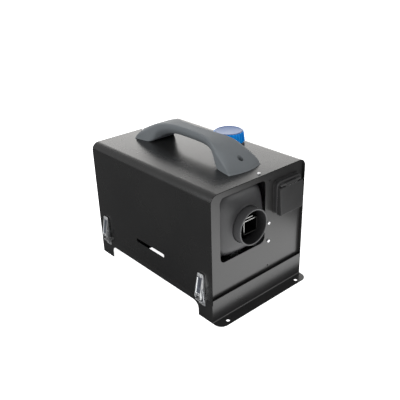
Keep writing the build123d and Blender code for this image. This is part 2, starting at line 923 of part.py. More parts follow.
with BuildPart() as handle_screws:
    for end in (-1, 1):
        seat = Plane((0, end * handle_screw_y, case_top + handle_screw_seat))
        add(
            pan_screw(
                seat,
                handle_screw_head,
                handle_screw_head_height,
                handle_screw_radius,
                handle_screw_seat + screw_length,
            )
        )
save(handle_screws, "handle_screws")

# ---------------------------------------------------------------- fuel cap
# A hollow moulded cap with an inner ring that screws on the neck, and a ribbed grip moulded round it.
cap_shoulder_z = cap_top_z - cap_edge
with BuildPart() as fuel_cap:
    seat_z = neck_top_z + 2 * cap_clearance + seal_thickness
    ring_radius = neck_radius + cap_clearance
    with BuildSketch(Plane.XZ.offset(-neck_y)) as cap_section:
        with BuildLine():
            Polyline(
                (neck_x, cap_top_z),
                (neck_x + cap_top_radius - cap_edge, cap_top_z),
                (neck_x + cap_top_radius, cap_shoulder_z),
                (neck_x + cap_top_radius - cap_grip_wall, cap_shoulder_z),
                (neck_x + cap_bottom_radius - cap_grip_wall, cap_bottom_z),
                (neck_x + cap_bottom_radius - cap_wall, cap_bottom_z),
                (neck_x + cap_top_radius - cap_wall, cap_top_z - 2 * cap_wall),
                (neck_x + ring_radius + cap_thread_wall, cap_top_z - 2 * cap_wall),
                (neck_x + ring_radius + cap_thread_wall, cap_bottom_z),
                (neck_x + ring_radius, cap_bottom_z),
                (neck_x + ring_radius, seat_z),
                (neck_x, seat_z),
                close=True,
            )
        make_face()
    revolve(axis=Axis((neck_x, neck_y, 0), (0, 0, 1)))
save(fuel_cap, "fuel_cap")


def cap_cone(radius_change, mode=Mode.ADD):
    """The cone of the cap's side below its rounded edge, with its radius changed all round."""
    with BuildSketch(Plane.XZ.offset(-neck_y), mode=Mode.PRIVATE) as half_cone:
        with BuildLine():
            Polyline(
                (neck_x, cap_bottom_z),
                (neck_x, cap_shoulder_z),
                (neck_x + cap_top_radius + radius_change, cap_shoulder_z),
                (neck_x + cap_bottom_radius + radius_change, cap_bottom_z),
                close=True,
            )
        make_face()
    revolve(half_cone.sketch, axis=Axis((neck_x, neck_y, 0), (0, 0, 1)), mode=mode)


with BuildPart() as cap_grip:
    cap_cone(0)
    rib_length = math.hypot(cap_height, cap_bottom_radius - cap_top_radius) - 2 * cap_edge
    for i in range(cap_rib_count):
        turn = math.radians(360 / cap_rib_count * i)
        outwards = Vector(math.cos(turn), math.sin(turn), 0)
        foot = Vector(neck_x, neck_y, cap_bottom_z) + outwards * cap_bottom_radius
        upwards = outwards * (cap_top_radius - cap_bottom_radius) + Vector(0, 0, cap_height)
        rod(Plane(origin=foot, z_dir=upwards), cap_rib_radius, rib_length)
    rod(Plane((neck_x, neck_y, 0)), 2 * cap_bottom_radius, cap_bottom_z, mode=Mode.SUBTRACT)
    cap_cone(-cap_grip_wall, mode=Mode.SUBTRACT)
save(cap_grip, "cap_grip")

with BuildPart() as cap_seal:
    seal_base = Plane((neck_x, neck_y, neck_top_z + cap_clearance))
    rod(seal_base, neck_radius, seal_thickness, neck_radius - seal_width)
save(cap_seal, "cap_seal")

# ---------------------------------------------------------------- control pod
# A gasket, a housing with a hinged lid, and the controller with its screen and four buttons.
gasket_y = -panel_out
housing_y = gasket_y - gasket_thickness
pod_width = gasket_width - 2 * pod_inset
pod_height = gasket_height - 2 * pod_inset

with BuildPart() as pod_gasket:
    rounded_bar(
        front_plane(pod_x, gasket_y, pod_z),
        gasket_width,
        gasket_height,
        gasket_corner,
        gasket_thickness,
    )
    rounded_bar(
        front_plane(pod_x, gasket_y, pocket_centre_z),
        pocket_width,
        pocket_height,
        pocket_corner,
        gasket_thickness,
        Mode.SUBTRACT,
    )
save(pod_gasket, "pod_gasket")

with BuildPart() as pod_housing:
    rounded_bar(front_plane(pod_x, housing_y, pod_z), pod_width, pod_height, pod_corner, pod_depth)
    fillet(pod_housing.edges().group_by(Axis.Y)[0], 1)
    for side in (-1, 1):
        knuckle_x = sorted((side * pod_barrel_outer, side * (lid_barrel_half + lid_gap)))
        x = [pod_x + knuckle_x[0], pod_x + knuckle_x[1]]
        block(x, (lid_pin_y, housing_y), (lid_pin_z - lid_barrel_radius, lid_pin_z + lid_barrel_radius))
        rod(side_plane(x[0], lid_pin_y, lid_pin_z), lid_barrel_radius, x[1] - x[0])
    bore(side_plane(pod_x - pod_barrel_outer, lid_pin_y, lid_pin_z), lid_pin_radius, 2 * pod_barrel_outer)
    rounded_bar(
        front_plane(pod_x, housing_y, pocket_centre_z),
        pocket_width,
        pocket_height,
        pocket_corner,
        pod_depth,
        Mode.SUBTRACT,
    )
save(pod_housing, "pod_housing")

with BuildPart() as lid_pin:
    rod(side_plane(pod_x - pod_barrel_outer, lid_pin_y, lid_pin_z), lid_pin_radius, 2 * pod_barrel_outer)
save(lid_pin, "lid_pin")


def lid_wedge(inset):
    """The lid's block, thicker at its lower end, made smaller all round by an inset."""
    back = -lid_back
    with BuildPart(mode=Mode.PRIVATE) as wedge:
        with BuildSketch(side_plane(pod_x - lid_width / 2 + inset, 0, 0)) as outline:
            with BuildLine():
                Polyline(
                    (back, lid_top_z - inset),
                    (-pod_face - lid_top_depth + inset, lid_top_z - inset),
                    (-pod_face - lid_bottom_depth + inset, lid_bottom_z + inset),
                    (back, lid_bottom_z + inset),
                    close=True,
                )
            make_face()
        extrude(outline.sketch, amount=lid_width - 2 * inset)
        if inset == 0:
            fillet(wedge.faces().sort_by(Axis.Y)[0].edges(), lid_edge)
    return wedge.part


with BuildPart() as pod_lid:
    add(lid_wedge(0))
    add(lid_wedge(lid_wall), mode=Mode.SUBTRACT)
    tab_y = (lid_pin_y - lid_barrel_radius, -lid_back)
    barrel_x = (pod_x - lid_barrel_half, pod_x + lid_barrel_half)
    block(barrel_x, tab_y, (lid_top_z - lid_wall, lid_pin_z))
    rod(side_plane(barrel_x[0], lid_pin_y, lid_pin_z), lid_barrel_radius, 2 * lid_barrel_half)
    rod(
        side_plane(barrel_x[0], lid_pin_y, lid_pin_z),
        lid_pin_radius + running_clearance,
        2 * lid_barrel_half,
        mode=Mode.SUBTRACT,
    )
save(pod_lid, "pod_lid")

button_names = ("power", "set", "up", "down")
first_button_x = pod_x - (len(button_names) - 1) * button_pitch / 2
button_places = [(name, first_button_x + i * button_pitch) for i, name in enumerate(button_names)]
with BuildPart() as controller:
    rounded_bar(
        front_plane(pod_x, -panel_out, pocket_centre_z),
        pocket_width - 2 * controller_gap,
        pocket_height - 2 * controller_gap,
        pocket_corner,
        controller_depth,
    )
    block(
        (pod_x - screen_width / 2, pod_x + screen_width / 2),
        (-controller_face, -controller_face + screen_thickness),
        (screen_centre_z - screen_height / 2, screen_centre_z + screen_height / 2),
        mode=Mode.SUBTRACT,
    )
    for name, x in button_places:
        well_floor = front_plane(x, -controller_face + button_well, button_z)
        bore(well_floor, button_radius + button_gap, button_well)
save(controller, "controller")

with BuildPart() as screen:
    block(
        (pod_x - screen_width / 2, pod_x + screen_width / 2),
        (-controller_face, -controller_face + screen_thickness),
        (screen_centre_z - screen_height / 2, screen_centre_z + screen_height / 2),
    )
save(screen, "screen")

for name, x in button_places:
    with BuildPart() as button:
        button_back = front_plane(x, -controller_face + button_depth, button_z)
        rod(button_back, button_radius, button_depth + button_proud)
        fillet(button.edges().sort_by(Axis.Y)[0], button_edge)
    save(button, "button_" + name)

# ---------------------------------------------------------------- fuel tank
# A blow-moulded tank with a filler neck that comes up through the cover.
tank_middle_x = (tank_x[0] + tank_x[1]) / 2


def tank_block(inset):
    """The tank's rounded block, made smaller all round by an inset."""
    with BuildPart(mode=Mode.PRIVATE) as body:
        with BuildSketch(Plane((tank_middle_x, 0, tray_top + inset))) as plan:
            width = tank_x[1] - tank_x[0] - 2 * inset
            RectangleRounded(width, 2 * (tank_half_length - inset), tank_corner - inset)
        extrude(plan.sketch, amount=tank_height - 2 * inset)
        rims = body.edges().group_by(Axis.Z)
        fillet(rims[0] + rims[-1], tank_edge - inset)
    return body.part


with BuildPart() as fuel_tank:
    add(tank_block(0))
    rod(Plane((neck_x, neck_y, tank_top_z - tank_wall)), neck_radius, neck_top_z - tank_top_z + tank_wall)
    add(tank_block(tank_wall), mode=Mode.SUBTRACT)
    neck_bore = neck_radius - neck_wall
    bore(Plane((neck_x, neck_y, tank_top_z - 2 * tank_wall)), neck_bore, neck_top_z)
    bore(side_plane(tank_x[0] - tank_wall, outlet_y, fuel_z), line_bore, 3 * tank_wall)
save(fuel_tank, "fuel_tank")

with BuildPart() as tank_strap:
    strap_left = divider_x + divider_sheet
    strap_right = panel_half - tray_sheet
    strap_top = tank_top_z + strap_sheet
    strap_y_limits = (strap_y - strap_width / 2, strap_y + strap_width / 2)
    block((strap_left, strap_right), strap_y_limits, (tank_top_z, strap_top))
    block((strap_left, strap_left + strap_sheet), strap_y_limits, (strap_top - strap_drop, strap_top))
    block((strap_right - strap_sheet, strap_right), strap_y_limits, (tray_top, strap_top))
save(tank_strap, "tank_strap")

with BuildPart() as tank_outlet:
    outlet_face = Plane(origin=(tank_x[0], outlet_y, fuel_z), x_dir=(0, 1, 0), z_dir=(-1, 0, 0))
    rod(outlet_face, outlet_flange_radius, tank_x[0] - outlet_face_x)
    rod(outlet_face.offset(-tank_wall), line_bore, tank_x[0] + tank_wall - outlet_nipple_x)
save(tank_outlet, "tank_outlet")

# ---------------------------------------------------------------- fuel line
# Filter, dosing pump with its clip, and the hoses between tank, filter, pump and heater.
filter_face = front_plane(line_x, filter_y[1], fuel_z)
pump_face = front_plane(line_x, pump_y[1], fuel_z)
with BuildPart() as fuel_filter:
    rod(filter_face, filter_radius, filter_y[1] - filter_y[0])
    fillet(fuel_filter.edges(), filter_radius / 4)
    rod(filter_face.offset(-nipple_length), line_bore, filter_y[1] - filter_y[0] + 2 * nipple_length)
save(fuel_filter, "fuel_filter")

with BuildPart() as fuel_pump:
    pump_length = pump_y[1] - pump_y[0]
    rod(pump_face, pump_radius, pump_length)
    fillet(fuel_pump.edges(), pump_radius / 5)
    rod(pump_face.offset(-nipple_length), line_bore, pump_length + 2 * nipple_length)
save(fuel_pump, "fuel_pump")

with BuildPart() as pump_clip:
    clip_y = (pump_y[0] + pump_y[1] + clip_width) / 2
    foot_half = pump_radius - clip_wall
    foot_x = (line_x - foot_half, line_x + foot_half)
    block(foot_x, (clip_y - clip_width, clip_y), (tray_top, fuel_z - pump_radius + clip_wall))
    rod(front_plane(line_x, clip_y, fuel_z), pump_radius + clip_wall, clip_width)
    bore(front_plane(line_x, clip_y, fuel_z), pump_radius, clip_width)
save(pump_clip, "pump_clip")


def hose(name, points, turn):
    """A hose along straight runs joined by one round bend."""
    start = Vector(points[0])
    with BuildPart() as tube:
        with BuildLine() as run:
            if turn > 0:
                FilletPolyline(*points, radius=turn)
            else:
                Line(*points)
        with BuildSketch(Plane(origin=start, z_dir=Vector(points[1]) - start)) as section:
            Circle(hose_radius)
            Circle(line_bore, mode=Mode.SUBTRACT)
        sweep(section.sketch, path=run.line)
    save(tube, name)


hose(
    "hose_tank_filter",
    [
        (outlet_face_x - hose_end_gap, outlet_y, fuel_z),
        (line_x, outlet_y, fuel_z),
        (line_x, filter_y[1] + hose_end_gap, fuel_z),
    ],
    hose_turn,
)
hose(
    "hose_filter_pump",
    [(line_x, filter_y[0] - hose_end_gap, fuel_z), (line_x, pump_y[1] + hose_end_gap, fuel_z)],
    0,
)
hose(
    "hose_pump_heater",
    [
        (line_x, pump_y[0] - hose_end_gap, fuel_z),
        (line_x, inlet_y, fuel_z),
        (line_x, inlet_y, heater_bottom - hose_end_gap),
    ],
    pump_turn,
)

# ---------------------------------------------------------------- outlet hood
# A moulded hood over the front of the heater, with a hole for the collar and a rear flange.


def hood_block(inset, back_y):
    """The hood's rounded block with its front edge rounded, made smaller all round by an inset."""
    front_y = hood_front_y - inset
    with BuildPart(mode=Mode.PRIVATE) as body:
        rounded_bar(
            front_plane(heater_x, back_y, heater_z),
            window_width - 2 * hood_gap - 2 * inset,
            window_height - 2 * hood_gap - 2 * inset,
            hood_corner - inset,
            front_y + back_y,
        )
        fillet(body.edges().group_by(Axis.Y)[0], hood_edge - inset)
    return body.part


collar_spigot = collar_radius - collar_wall / 2
with BuildPart() as outlet_hood:
    add(hood_block(0, casing_front_y))
    rounded_bar(
        front_plane(heater_x, casing_front_y, heater_z),
        casing_width - 2 * hood_inset,
        casing_height - 2 * hood_inset,
        casing_corner,
        hood_wall,
    )
    add(hood_block(hood_wall, casing_front_y), mode=Mode.SUBTRACT)
    rod(
        front_plane(collar_x, -hood_front_y + hood_wall, collar_z),
        collar_spigot + collar_spigot_gap,
        hood_wall,
        mode=Mode.SUBTRACT,
    )
save(outlet_hood, "outlet_hood")

with BuildPart() as outlet_collar:
    collar_base = front_plane(collar_x, -hood_front_y, collar_z)
    collar_length = collar_front_y - hood_front_y
    rod(collar_base, collar_base_radius, collar_base_thickness)
    rod(collar_base, collar_radius, collar_length)
    spigot_start = collar_base.offset(-spigot_length)
    rod(spigot_start, collar_spigot, spigot_length)
    bore(spigot_start, collar_radius - collar_wall, collar_length + spigot_length)
save(outlet_collar, "outlet_collar")

# ---------------------------------------------------------------- heater casing
# Two half shells round the heat exchanger, with a round air inlet at the back.
casing_back = front_plane(heater_x, casing_back_y, heater_z)
casing_length = casing_back_y - casing_front_y
inner_width = casing_width - 2 * casing_wall
inner_height = casing_height - 2 * casing_wall
duct_inner = grille_hole - grille_duct_gap - grille_duct_wall


def casing_half(keep):
    """One half of the shell, divided at the height of the heater's axis."""
    with BuildPart(mode=Mode.PRIVATE) as shell:
        rounded_bar(casing_back, casing_width, casing_height, casing_corner, casing_length)
        rounded_bar(
            casing_back.offset(casing_wall),
            inner_width,
            inner_height,
            casing_corner - casing_wall,
            casing_length,
            Mode.SUBTRACT,
        )
        bore(casing_back, duct_inner, casing_wall)
        for pipe_y, radius in ((exhaust_y, exhaust_radius), (air_intake_y, air_intake_radius)):
            bore(Plane((heater_x, pipe_y, 0)), radius + pipe_gap, heater_z)
        bore(Plane((line_x, inlet_y, 0)), inlet_boss + pipe_gap, heater_z)
        bore(Plane((heater_x, plug_y, heater_z)), plug_radius + pipe_gap, heater_z)
        split(bisect_by=Plane.XY.offset(heater_z), keep=keep)
    return shell.part


with BuildPart() as casing_lower:
    add(casing_half(Keep.BOTTOM))
save(casing_lower, "casing_lower")

with BuildPart() as casing_upper:
    add(casing_half(Keep.TOP))
save(casing_upper, "casing_upper")

# ---------------------------------------------------------------- heat exchanger
# A cast core with long fins and the fuel inlet, and a cast nose with fins of its own that reaches
# into the outlet.
with BuildPart() as heat_exchanger:
    core_back = front_plane(heater_x, core_back_y, heater_z)
    rounded_bar(core_back, core_width, core_height, core_corner, core_back_y - core_front_y)
    fin_half_x = inner_width / 2 - fin_gap
    fin_half_z = inner_height / 2 - fin_gap
    for i in range(fin_count):
        step = (i - (fin_count - 1) / 2) * fin_pitch
        block(
            (heater_x + step - fin_thickness / 2, heater_x + step + fin_thickness / 2),
            (core_front_y, core_back_y),
            (heater_z - fin_half_z, heater_z + fin_half_z),
        )
        block(
            (heater_x - fin_half_x, heater_x + fin_half_x),
            (core_front_y, core_back_y),
            (heater_z + step - fin_thickness / 2, heater_z + step + fin_thickness / 2),
        )
    for pipe_y, radius in ((exhaust_y, exhaust_radius), (air_intake_y, air_intake_radius)):
        under_core = Plane((heater_x, pipe_y, heater_bottom))
        bore(under_core, radius + pipe_fin_gap, core_bottom - heater_bottom)
        bore(under_core, radius, heater_z - heater_bottom)
    bore(Plane((heater_x, plug_y, heater_z)), plug_radius, heater_z)
    rounded_bar(
        core_back,
        core_width - 2 * core_wall,
        core_height - 2 * core_wall,
        core_corner - core_wall,
        core_back_y - core_front_y - core_wall,
        Mode.SUBTRACT,
    )
    inlet_plane = Plane((line_x, inlet_y, heater_bottom))
    rod(inlet_plane, inlet_boss, core_bottom + core_corner - heater_bottom)
    rod(inlet_plane, line_bore, -inlet_drop)
save(heat_exchanger, "heat_exchanger")

with BuildPart() as exchanger_nose:
    nose_back = front_plane(collar_x, core_front_y, collar_z)
    nose_length = core_front_y - nose_front_y
    rounded_bar(nose_back, nose_width, nose_height, nose_wall, nose_length)
    rounded_bar(
        nose_back,
        nose_width - 2 * nose_wall,
        nose_height - 2 * nose_wall,
        nose_wall / 3,
        nose_length,
        Mode.SUBTRACT,
    )
    for i in range(nose_fins):
        x = collar_x + (i - (nose_fins - 1) / 2) * nose_width / (nose_fins + 1)
        block(
            (x - nose_wall / 2, x + nose_wall / 2),
            (nose_front_y + nose_fin_setback, core_front_y),
            (collar_z - nose_height / 2, collar_z + nose_height / 2),
        )
    nose_top = collar_z + nose_height / 2
    shelf_x = (collar_x - nose_width / 2 + nose_wall, collar_x - nose_width / 2 + nose_shelf_width)
    shelf_z = (nose_top + nose_shelf_gap, nose_top + nose_shelf_gap + nose_wall)
    block(shelf_x, (nose_front_y, core_front_y), shelf_z)
    web_x = (sum(shelf_x) / 2, sum(shelf_x) / 2 + nose_wall)
    block(web_x, (nose_front_y + nose_fin_setback, core_front_y), (nose_top - nose_wall, shelf_z[1]))
save(exchanger_nose, "exchanger_nose")

with BuildPart() as burner_tube:
    burner_back = front_plane(heater_x, core_back_y, heater_z)
    rod(burner_back, burner_radius, core_back_y - burner_front_y, burner_radius - burner_wall)
    rounded_bar(burner_back.offset(-burner_flange), core_width, core_height, core_corner, burner_flange)
    bore(burner_back.offset(-burner_flange), burner_radius / 3, burner_flange)
    bore(Plane((heater_x, plug_y, heater_z)), plug_tip_radius + pipe_gap, burner_radius)
save(burner_tube, "burner_tube")

with BuildPart() as glow_plug:
    plug_end = Plane((heater_x, plug_y, heater_z + burner_radius - plug_tip_reach))
    rod(plug_end, plug_tip_radius, burner_radius)
    plug_seat_z = heater_z + core_height / 2 - core_wall
    casing_top_z = heater_z + casing_height / 2
    rod(Plane((heater_x, plug_y, plug_seat_z)), plug_radius, casing_top_z - plug_seat_z)
    with BuildSketch(Plane((heater_x, plug_y, casing_top_z))) as plug_hex:
        RegularPolygon(plug_hex_half, 6, major_radius=False)
    extrude(plug_hex.sketch, amount=plug_hex_height)
save(glow_plug, "glow_plug")

# ---------------------------------------------------------------- blower
# A motor on a plate across the casing; its shaft carries the fan and the combustion air impeller.
motor_back = front_plane(heater_x, motor_back_y, heater_z)
with BuildPart() as blower_motor:
    rod(motor_back, motor_radius, motor_back_y - motor_front_y)
    plate_back = front_plane(heater_x, motor_plate_y, heater_z)
    rounded_bar(
        plate_back,
        inner_width - 2 * motor_plate_gap,
        inner_height - 2 * motor_plate_gap,
        casing_corner - casing_wall,
        motor_plate_thickness,
    )
    window_ring = (motor_radius + inner_width / 2) / 2
    with BuildSketch(plate_back) as windows:
        with PolarLocations(window_ring, 8):
            Circle(window_ring / 4)
    extrude(windows.sketch, amount=motor_plate_thickness, mode=Mode.SUBTRACT)
    bore(motor_back, shaft_radius + running_clearance, motor_back_y - motor_front_y)
save(blower_motor, "blower_motor")

impeller_front_y = core_back_y + burner_flange + impeller_gap
fan_back_y = fan_front_y + fan_depth
with BuildPart() as motor_shaft:
    rod(front_plane(heater_x, fan_back_y, heater_z), shaft_radius, fan_back_y - impeller_front_y)
save(motor_shaft, "motor_shaft")


def radial_blades(count, middle_y, chord, thickness, angle, start, stop):
    """Flat blades round the blower's axis, each turned by a pitch angle."""
    for i in range(count):
        turn = 2 * math.pi / count * i
        outwards = Vector(math.cos(turn), 0, math.sin(turn))
        root = Vector(heater_x, middle_y, heater_z) + outwards * start
        with BuildSketch(Plane(origin=root, x_dir=(0, 1, 0), z_dir=outwards)) as blade:
            Rectangle(chord, thickness, rotation=angle)
        extrude(blade.sketch, amount=stop - start)


with BuildPart() as combustion_impeller:
    impeller_back = front_plane(heater_x, impeller_front_y + impeller_thickness, heater_z)
    rod(impeller_back, impeller_radius, blade_thickness)
    rod(impeller_back, 2 * shaft_radius, impeller_thickness)
    radial_blades(
        impeller_blades,
        impeller_front_y + impeller_thickness / 2,
        impeller_thickness,
        blade_thickness,
        0,
        2 * shaft_radius - 1,
        impeller_radius - 1,
    )
    bore(impeller_back, shaft_radius, impeller_thickness)
save(combustion_impeller, "combustion_impeller")

with BuildPart() as fan_wheel:
    fan_back = front_plane(heater_x, fan_back_y, heater_z)
    rod(fan_back, fan_hub_radius, fan_depth)
    radial_blades(
        fan_blades,
        (fan_front_y + fan_back_y) / 2,
        fan_depth,
        blade_thickness,
        fan_pitch_angle,
        fan_hub_radius - 2,
        fan_radius,
    )
    bore(fan_back, shaft_radius, fan_depth)
save(fan_wheel, "fan_wheel")

# ---------------------------------------------------------------- intake grille
# Rings and spokes over the air inlet in the rear panel, with a short duct to the casing.
with BuildPart() as intake_grille:
    grille_face = Plane(origin=(heater_x, panel_out, heater_z), x_dir=(1, 0, 0), z_dir=(0, 1, 0))
    with BuildSketch(grille_face) as grille_bars:
        Circle(grille_radius)
        Circle(duct_inner, mode=Mode.SUBTRACT)
        ring_step = duct_inner / (grille_rings + 1)
        for i in range(1, grille_rings + 1):
            with BuildSketch(mode=Mode.PRIVATE) as ring:
                Circle(i * ring_step + grille_ring_width / 2)
                Circle(i * ring_step - grille_ring_width / 2, mode=Mode.SUBTRACT)
            add(ring.sketch)
        with PolarLocations(duct_inner / 2, grille_spokes):
            Rectangle(duct_inner + 2, grille_spoke_width)
    extrude(grille_bars.sketch, amount=grille_thickness)
    duct_start = Plane(origin=(heater_x, grille_duct_start, heater_z), x_dir=(1, 0, 0), z_dir=(0, 1, 0))
    rod(duct_start, duct_inner + grille_duct_wall, panel_out - grille_duct_start, duct_inner)
save(intake_grille, "intake_grille")


# ---------------------------------------------------------------- heater pipes and supports
def down_pipe(name, y, radius):
    """A pipe from the core's underside down through the floor, with a bead that stops its hose."""
    with BuildPart() as pipe:
        length = core_bottom + core_wall - pipe_end_z
        rod(Plane((heater_x, y, pipe_end_z)), radius, length)
        rod(Plane((heater_x, y, pipe_end_z + pipe_grip)), radius + pipe_bead, pipe_bead_width)
        bore(Plane((heater_x, y, pipe_end_z)), radius - pipe_wall, length)
    save(pipe, name)


down_pipe("exhaust_pipe", exhaust_y, exhaust_radius)
down_pipe("air_intake_pipe", air_intake_y, air_intake_radius)

with BuildPart() as cradle_brackets:
    for start in cradle_y:
        y = (start, start + cradle_depth)
        left = heater_x - cradle_half
        right = heater_x + cradle_half
        block((left, right), y, (heater_bottom - cradle_sheet, heater_bottom))
        for side_x, foot_x in ((left, left + cradle_foot), (right - cradle_sheet, right - cradle_foot)):
            block((side_x, side_x + cradle_sheet), y, (tray_top, heater_bottom))
            block(sorted((side_x, foot_x)), y, (tray_top, tray_top + cradle_sheet))
save(cradle_brackets, "cradle_brackets")

with BuildPart() as control_unit:
    block((divider_x - control_unit_depth, divider_x), control_unit_y, control_unit_z)
    fillet(control_unit.edges().group_by(Axis.X)[0], 2)
save(control_unit, "control_unit")
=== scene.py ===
import math

import bmesh
import bpy
from mathutils import Matrix, Vector


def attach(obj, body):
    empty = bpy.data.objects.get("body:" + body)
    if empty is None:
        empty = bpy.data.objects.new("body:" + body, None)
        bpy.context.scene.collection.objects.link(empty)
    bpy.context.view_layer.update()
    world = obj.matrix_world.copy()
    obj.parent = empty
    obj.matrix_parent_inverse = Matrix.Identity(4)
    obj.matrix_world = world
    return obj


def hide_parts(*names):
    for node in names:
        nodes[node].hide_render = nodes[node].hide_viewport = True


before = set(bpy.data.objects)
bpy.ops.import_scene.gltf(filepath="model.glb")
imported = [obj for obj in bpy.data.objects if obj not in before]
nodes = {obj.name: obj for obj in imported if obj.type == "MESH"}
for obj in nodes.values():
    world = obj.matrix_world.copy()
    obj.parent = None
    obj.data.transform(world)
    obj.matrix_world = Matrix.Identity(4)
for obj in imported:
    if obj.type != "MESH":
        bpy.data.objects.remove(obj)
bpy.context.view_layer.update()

# ---------------------------------------------------------------- base frame and floor tray
# The base is one bent steel sheet with four legs and a front flange, powder coated satin black.
# The tray that rests on its ledges is bare galvanised sheet, as are the small brackets inside.


def add_node(tree, kind, **values):
    """A shader node with its settings and the defaults of its named inputs."""
    node = tree.nodes.new(kind)
    for key, value in values.items():
        if key in node.inputs:
            node.inputs[key].default_value = value
        else:
            setattr(node, key, value)
    return node


def new_group(name, inputs, outputs):
    """A shader node group with float inputs and the given outputs."""
    group = bpy.data.node_groups.new(name, "ShaderNodeTree")
    for label, default in inputs:
        socket = group.interface.new_socket(label, in_out="INPUT", socket_type="NodeSocketFloat")
        socket.default_value = default
    for label, kind in outputs:
        group.interface.new_socket(label, in_out="OUTPUT", socket_type="NodeSocket" + kind)
    return group, group.nodes.new("NodeGroupInput"), group.nodes.new("NodeGroupOutput")


def use_group(tree, group, **values):
    """Places a node group in a material with its own values."""
    node = tree.nodes.new("ShaderNodeGroup")
    node.node_tree = group
    for key, value in values.items():
        node.inputs[key].default_value = value
    return node


def spread(tree, source, low, high, start, end):
    """Spreads a varying value between two limits over two other values."""
    node = add_node(tree, "ShaderNodeMapRange")
    for label, value in (("From Min", low), ("From Max", high), ("To Min", start), ("To Max", end)):
        node.inputs[label].default_value = value
    tree.links.new(source, node.inputs["Value"])
    return node.outputs["Result"]


def tint(tree, factor, first, second):
    """A colour between a first, given or linked, and a second, by a varying factor."""
    node = add_node(tree, "ShaderNodeMix", data_type="RGBA")
    mix = {socket.identifier: socket for socket in node.inputs}
    if isinstance(first, tuple):
        mix["A_Color"].default_value = (*first, 1)
    else:
        tree.links.new(first, mix["A_Color"])
    mix["B_Color"].default_value = (*second, 1)
    tree.links.new(factor, mix["Factor_Float"])
    return [out for out in node.outputs if out.identifier == "Result_Color"][0]


def build_surface_grain():
    """Skin of coats and mouldings: a fine height, a slow cloudiness and a sparse speckle."""
    outputs = [("Height", "Float"), ("Cloud", "Float"), ("Speckle", "Float")]
    group, given, out = new_group("surface_grain", [("Grain", 1800.0), ("Patch", 9.0)], outputs)
    place = group.nodes.new("ShaderNodeTexCoord")
    fine = add_node(group, "ShaderNodeTexNoise", Detail=3.0, Roughness=0.6)
    slow = add_node(group, "ShaderNodeTexNoise", Detail=4.0, Roughness=0.55)
    dust = add_node(group, "ShaderNodeTexVoronoi", Randomness=1.0)
    for texture, scale in ((fine, "Grain"), (slow, "Patch"), (dust, "Grain")):
        group.links.new(place.outputs["Object"], texture.inputs["Vector"])
        group.links.new(given.outputs[scale], texture.inputs["Scale"])
    group.links.new(fine.outputs["Fac"], out.inputs["Height"])
    group.links.new(slow.outputs["Fac"], out.inputs["Cloud"])
    group.links.new(spread(group, dust.outputs["Distance"], 0.05, 0.16, 1, 0), out.inputs["Speckle"])
    return group


def build_edge_wear_and_glint():
    """Edges: a normal that runs round them, and a broken mask of where hands and tools rub, which also paints
    a highlight along the edges.
    """
    outputs = [("Mask", "Float"), ("Normal", "Vector")]
    group, given, out = new_group("edge_wear_and_glint", [("Radius", 0.0008)], outputs)
    round_edge = add_node(group, "ShaderNodeBevel", samples=4)
    group.links.new(given.outputs["Radius"], round_edge.inputs["Radius"])
    flat = group.nodes.new("ShaderNodeNewGeometry")
    facing = add_node(group, "ShaderNodeVectorMath", operation="DOT_PRODUCT")
    group.links.new(round_edge.outputs["Normal"], facing.inputs[0])
    group.links.new(flat.outputs["Normal"], facing.inputs[1])
    place = group.nodes.new("ShaderNodeTexCoord")
    breaks = add_node(group, "ShaderNodeTexNoise", Scale=160.0, Detail=4.0, Roughness=0.7)
    group.links.new(place.outputs["Object"], breaks.inputs["Vector"])
    rubbed_and_lit = add_node(group, "ShaderNodeMath", operation="MULTIPLY", use_clamp=True)
    group.links.new(spread(group, facing.outputs["Value"], 0.98, 0.75, 0, 1), rubbed_and_lit.inputs[0])
    group.links.new(spread(group, breaks.outputs["Fac"], 0.42, 0.62, 0, 1), rubbed_and_lit.inputs[1])
    group.links.new(rubbed_and_lit.outputs["Value"], out.inputs["Mask"])
    group.links.new(round_edge.outputs["Normal"], out.inputs["Normal"])
    return group


surface_grain = build_surface_grain()
edge_wear_and_glint = build_edge_wear_and_glint()


def new_material(name, roughness, metallic=0.0, specular=0.5):
    """A material with a Principled shader, its tree and the shader."""
    material = bpy.data.materials.new(name)
    material.use_nodes = True
    tree = material.node_tree
    shader = tree.nodes["Principled BSDF"]
    shader.inputs["Roughness"].default_value = roughness
    shader.inputs["Metallic"].default_value = metallic
    shader.inputs["Specular IOR Level"].default_value = specular
    return material, tree, shader


def finish_surface(name, dark, light, wear_and_glint_colour, roughness, metallic=0.0, specular=0.5, grain=1500.0,
                   patch=8.0, height=0.00002, edge=0.0005, wear_and_glint=0.5):
    """A coat or moulding: cloudy colour, edges lightened as rubbed wear and as a painted highlight, uneven
    gloss, fine grain and soft edges.
    """
    material, tree, shader = new_material(name, roughness, metallic, specular)
    skin = use_group(tree, surface_grain, Grain=grain, Patch=patch)
    rim = use_group(tree, edge_wear_and_glint, Radius=edge)
    base = tint(tree, spread(tree, skin.outputs["Cloud"], 0.3, 0.7, 0, 1), dark, light)
    # the edge mask lightens the colour: partly rubbed wear, partly a painted highlight along the edges
    rubbed_and_lit = spread(tree, rim.outputs["Mask"], 0, 1, 0, wear_and_glint)
    tree.links.new(tint(tree, rubbed_and_lit, base, wear_and_glint_colour), shader.inputs["Base Color"])
    gloss = spread(tree, skin.outputs["Cloud"], 0.3, 0.7, roughness - 0.035, roughness + 0.035)
    tree.links.new(gloss, shader.inputs["Roughness"])
    relief = add_node(tree, "ShaderNodeBump", Distance=height, Strength=0.8)
    tree.links.new(skin.outputs["Height"], relief.inputs["Height"])
    tree.links.new(rim.outputs["Normal"], relief.inputs["Normal"])
    tree.links.new(relief.outputs["Normal"], shader.inputs["Normal"])
    return material


def dress(material, *names):
    """Gives nodes of the frame their material."""
    for name in names:
        node = nodes[name]
        node.data.materials.clear()
        node.data.materials.append(material)


base_coat = finish_surface(
    "base_coat", (0.011, 0.011, 0.0112), (0.015, 0.0149, 0.0147), (0.07, 0.07, 0.07), 0.3,
    specular=0.55, height=0.00001, wear_and_glint=0.3)
dress(base_coat, "base_frame")


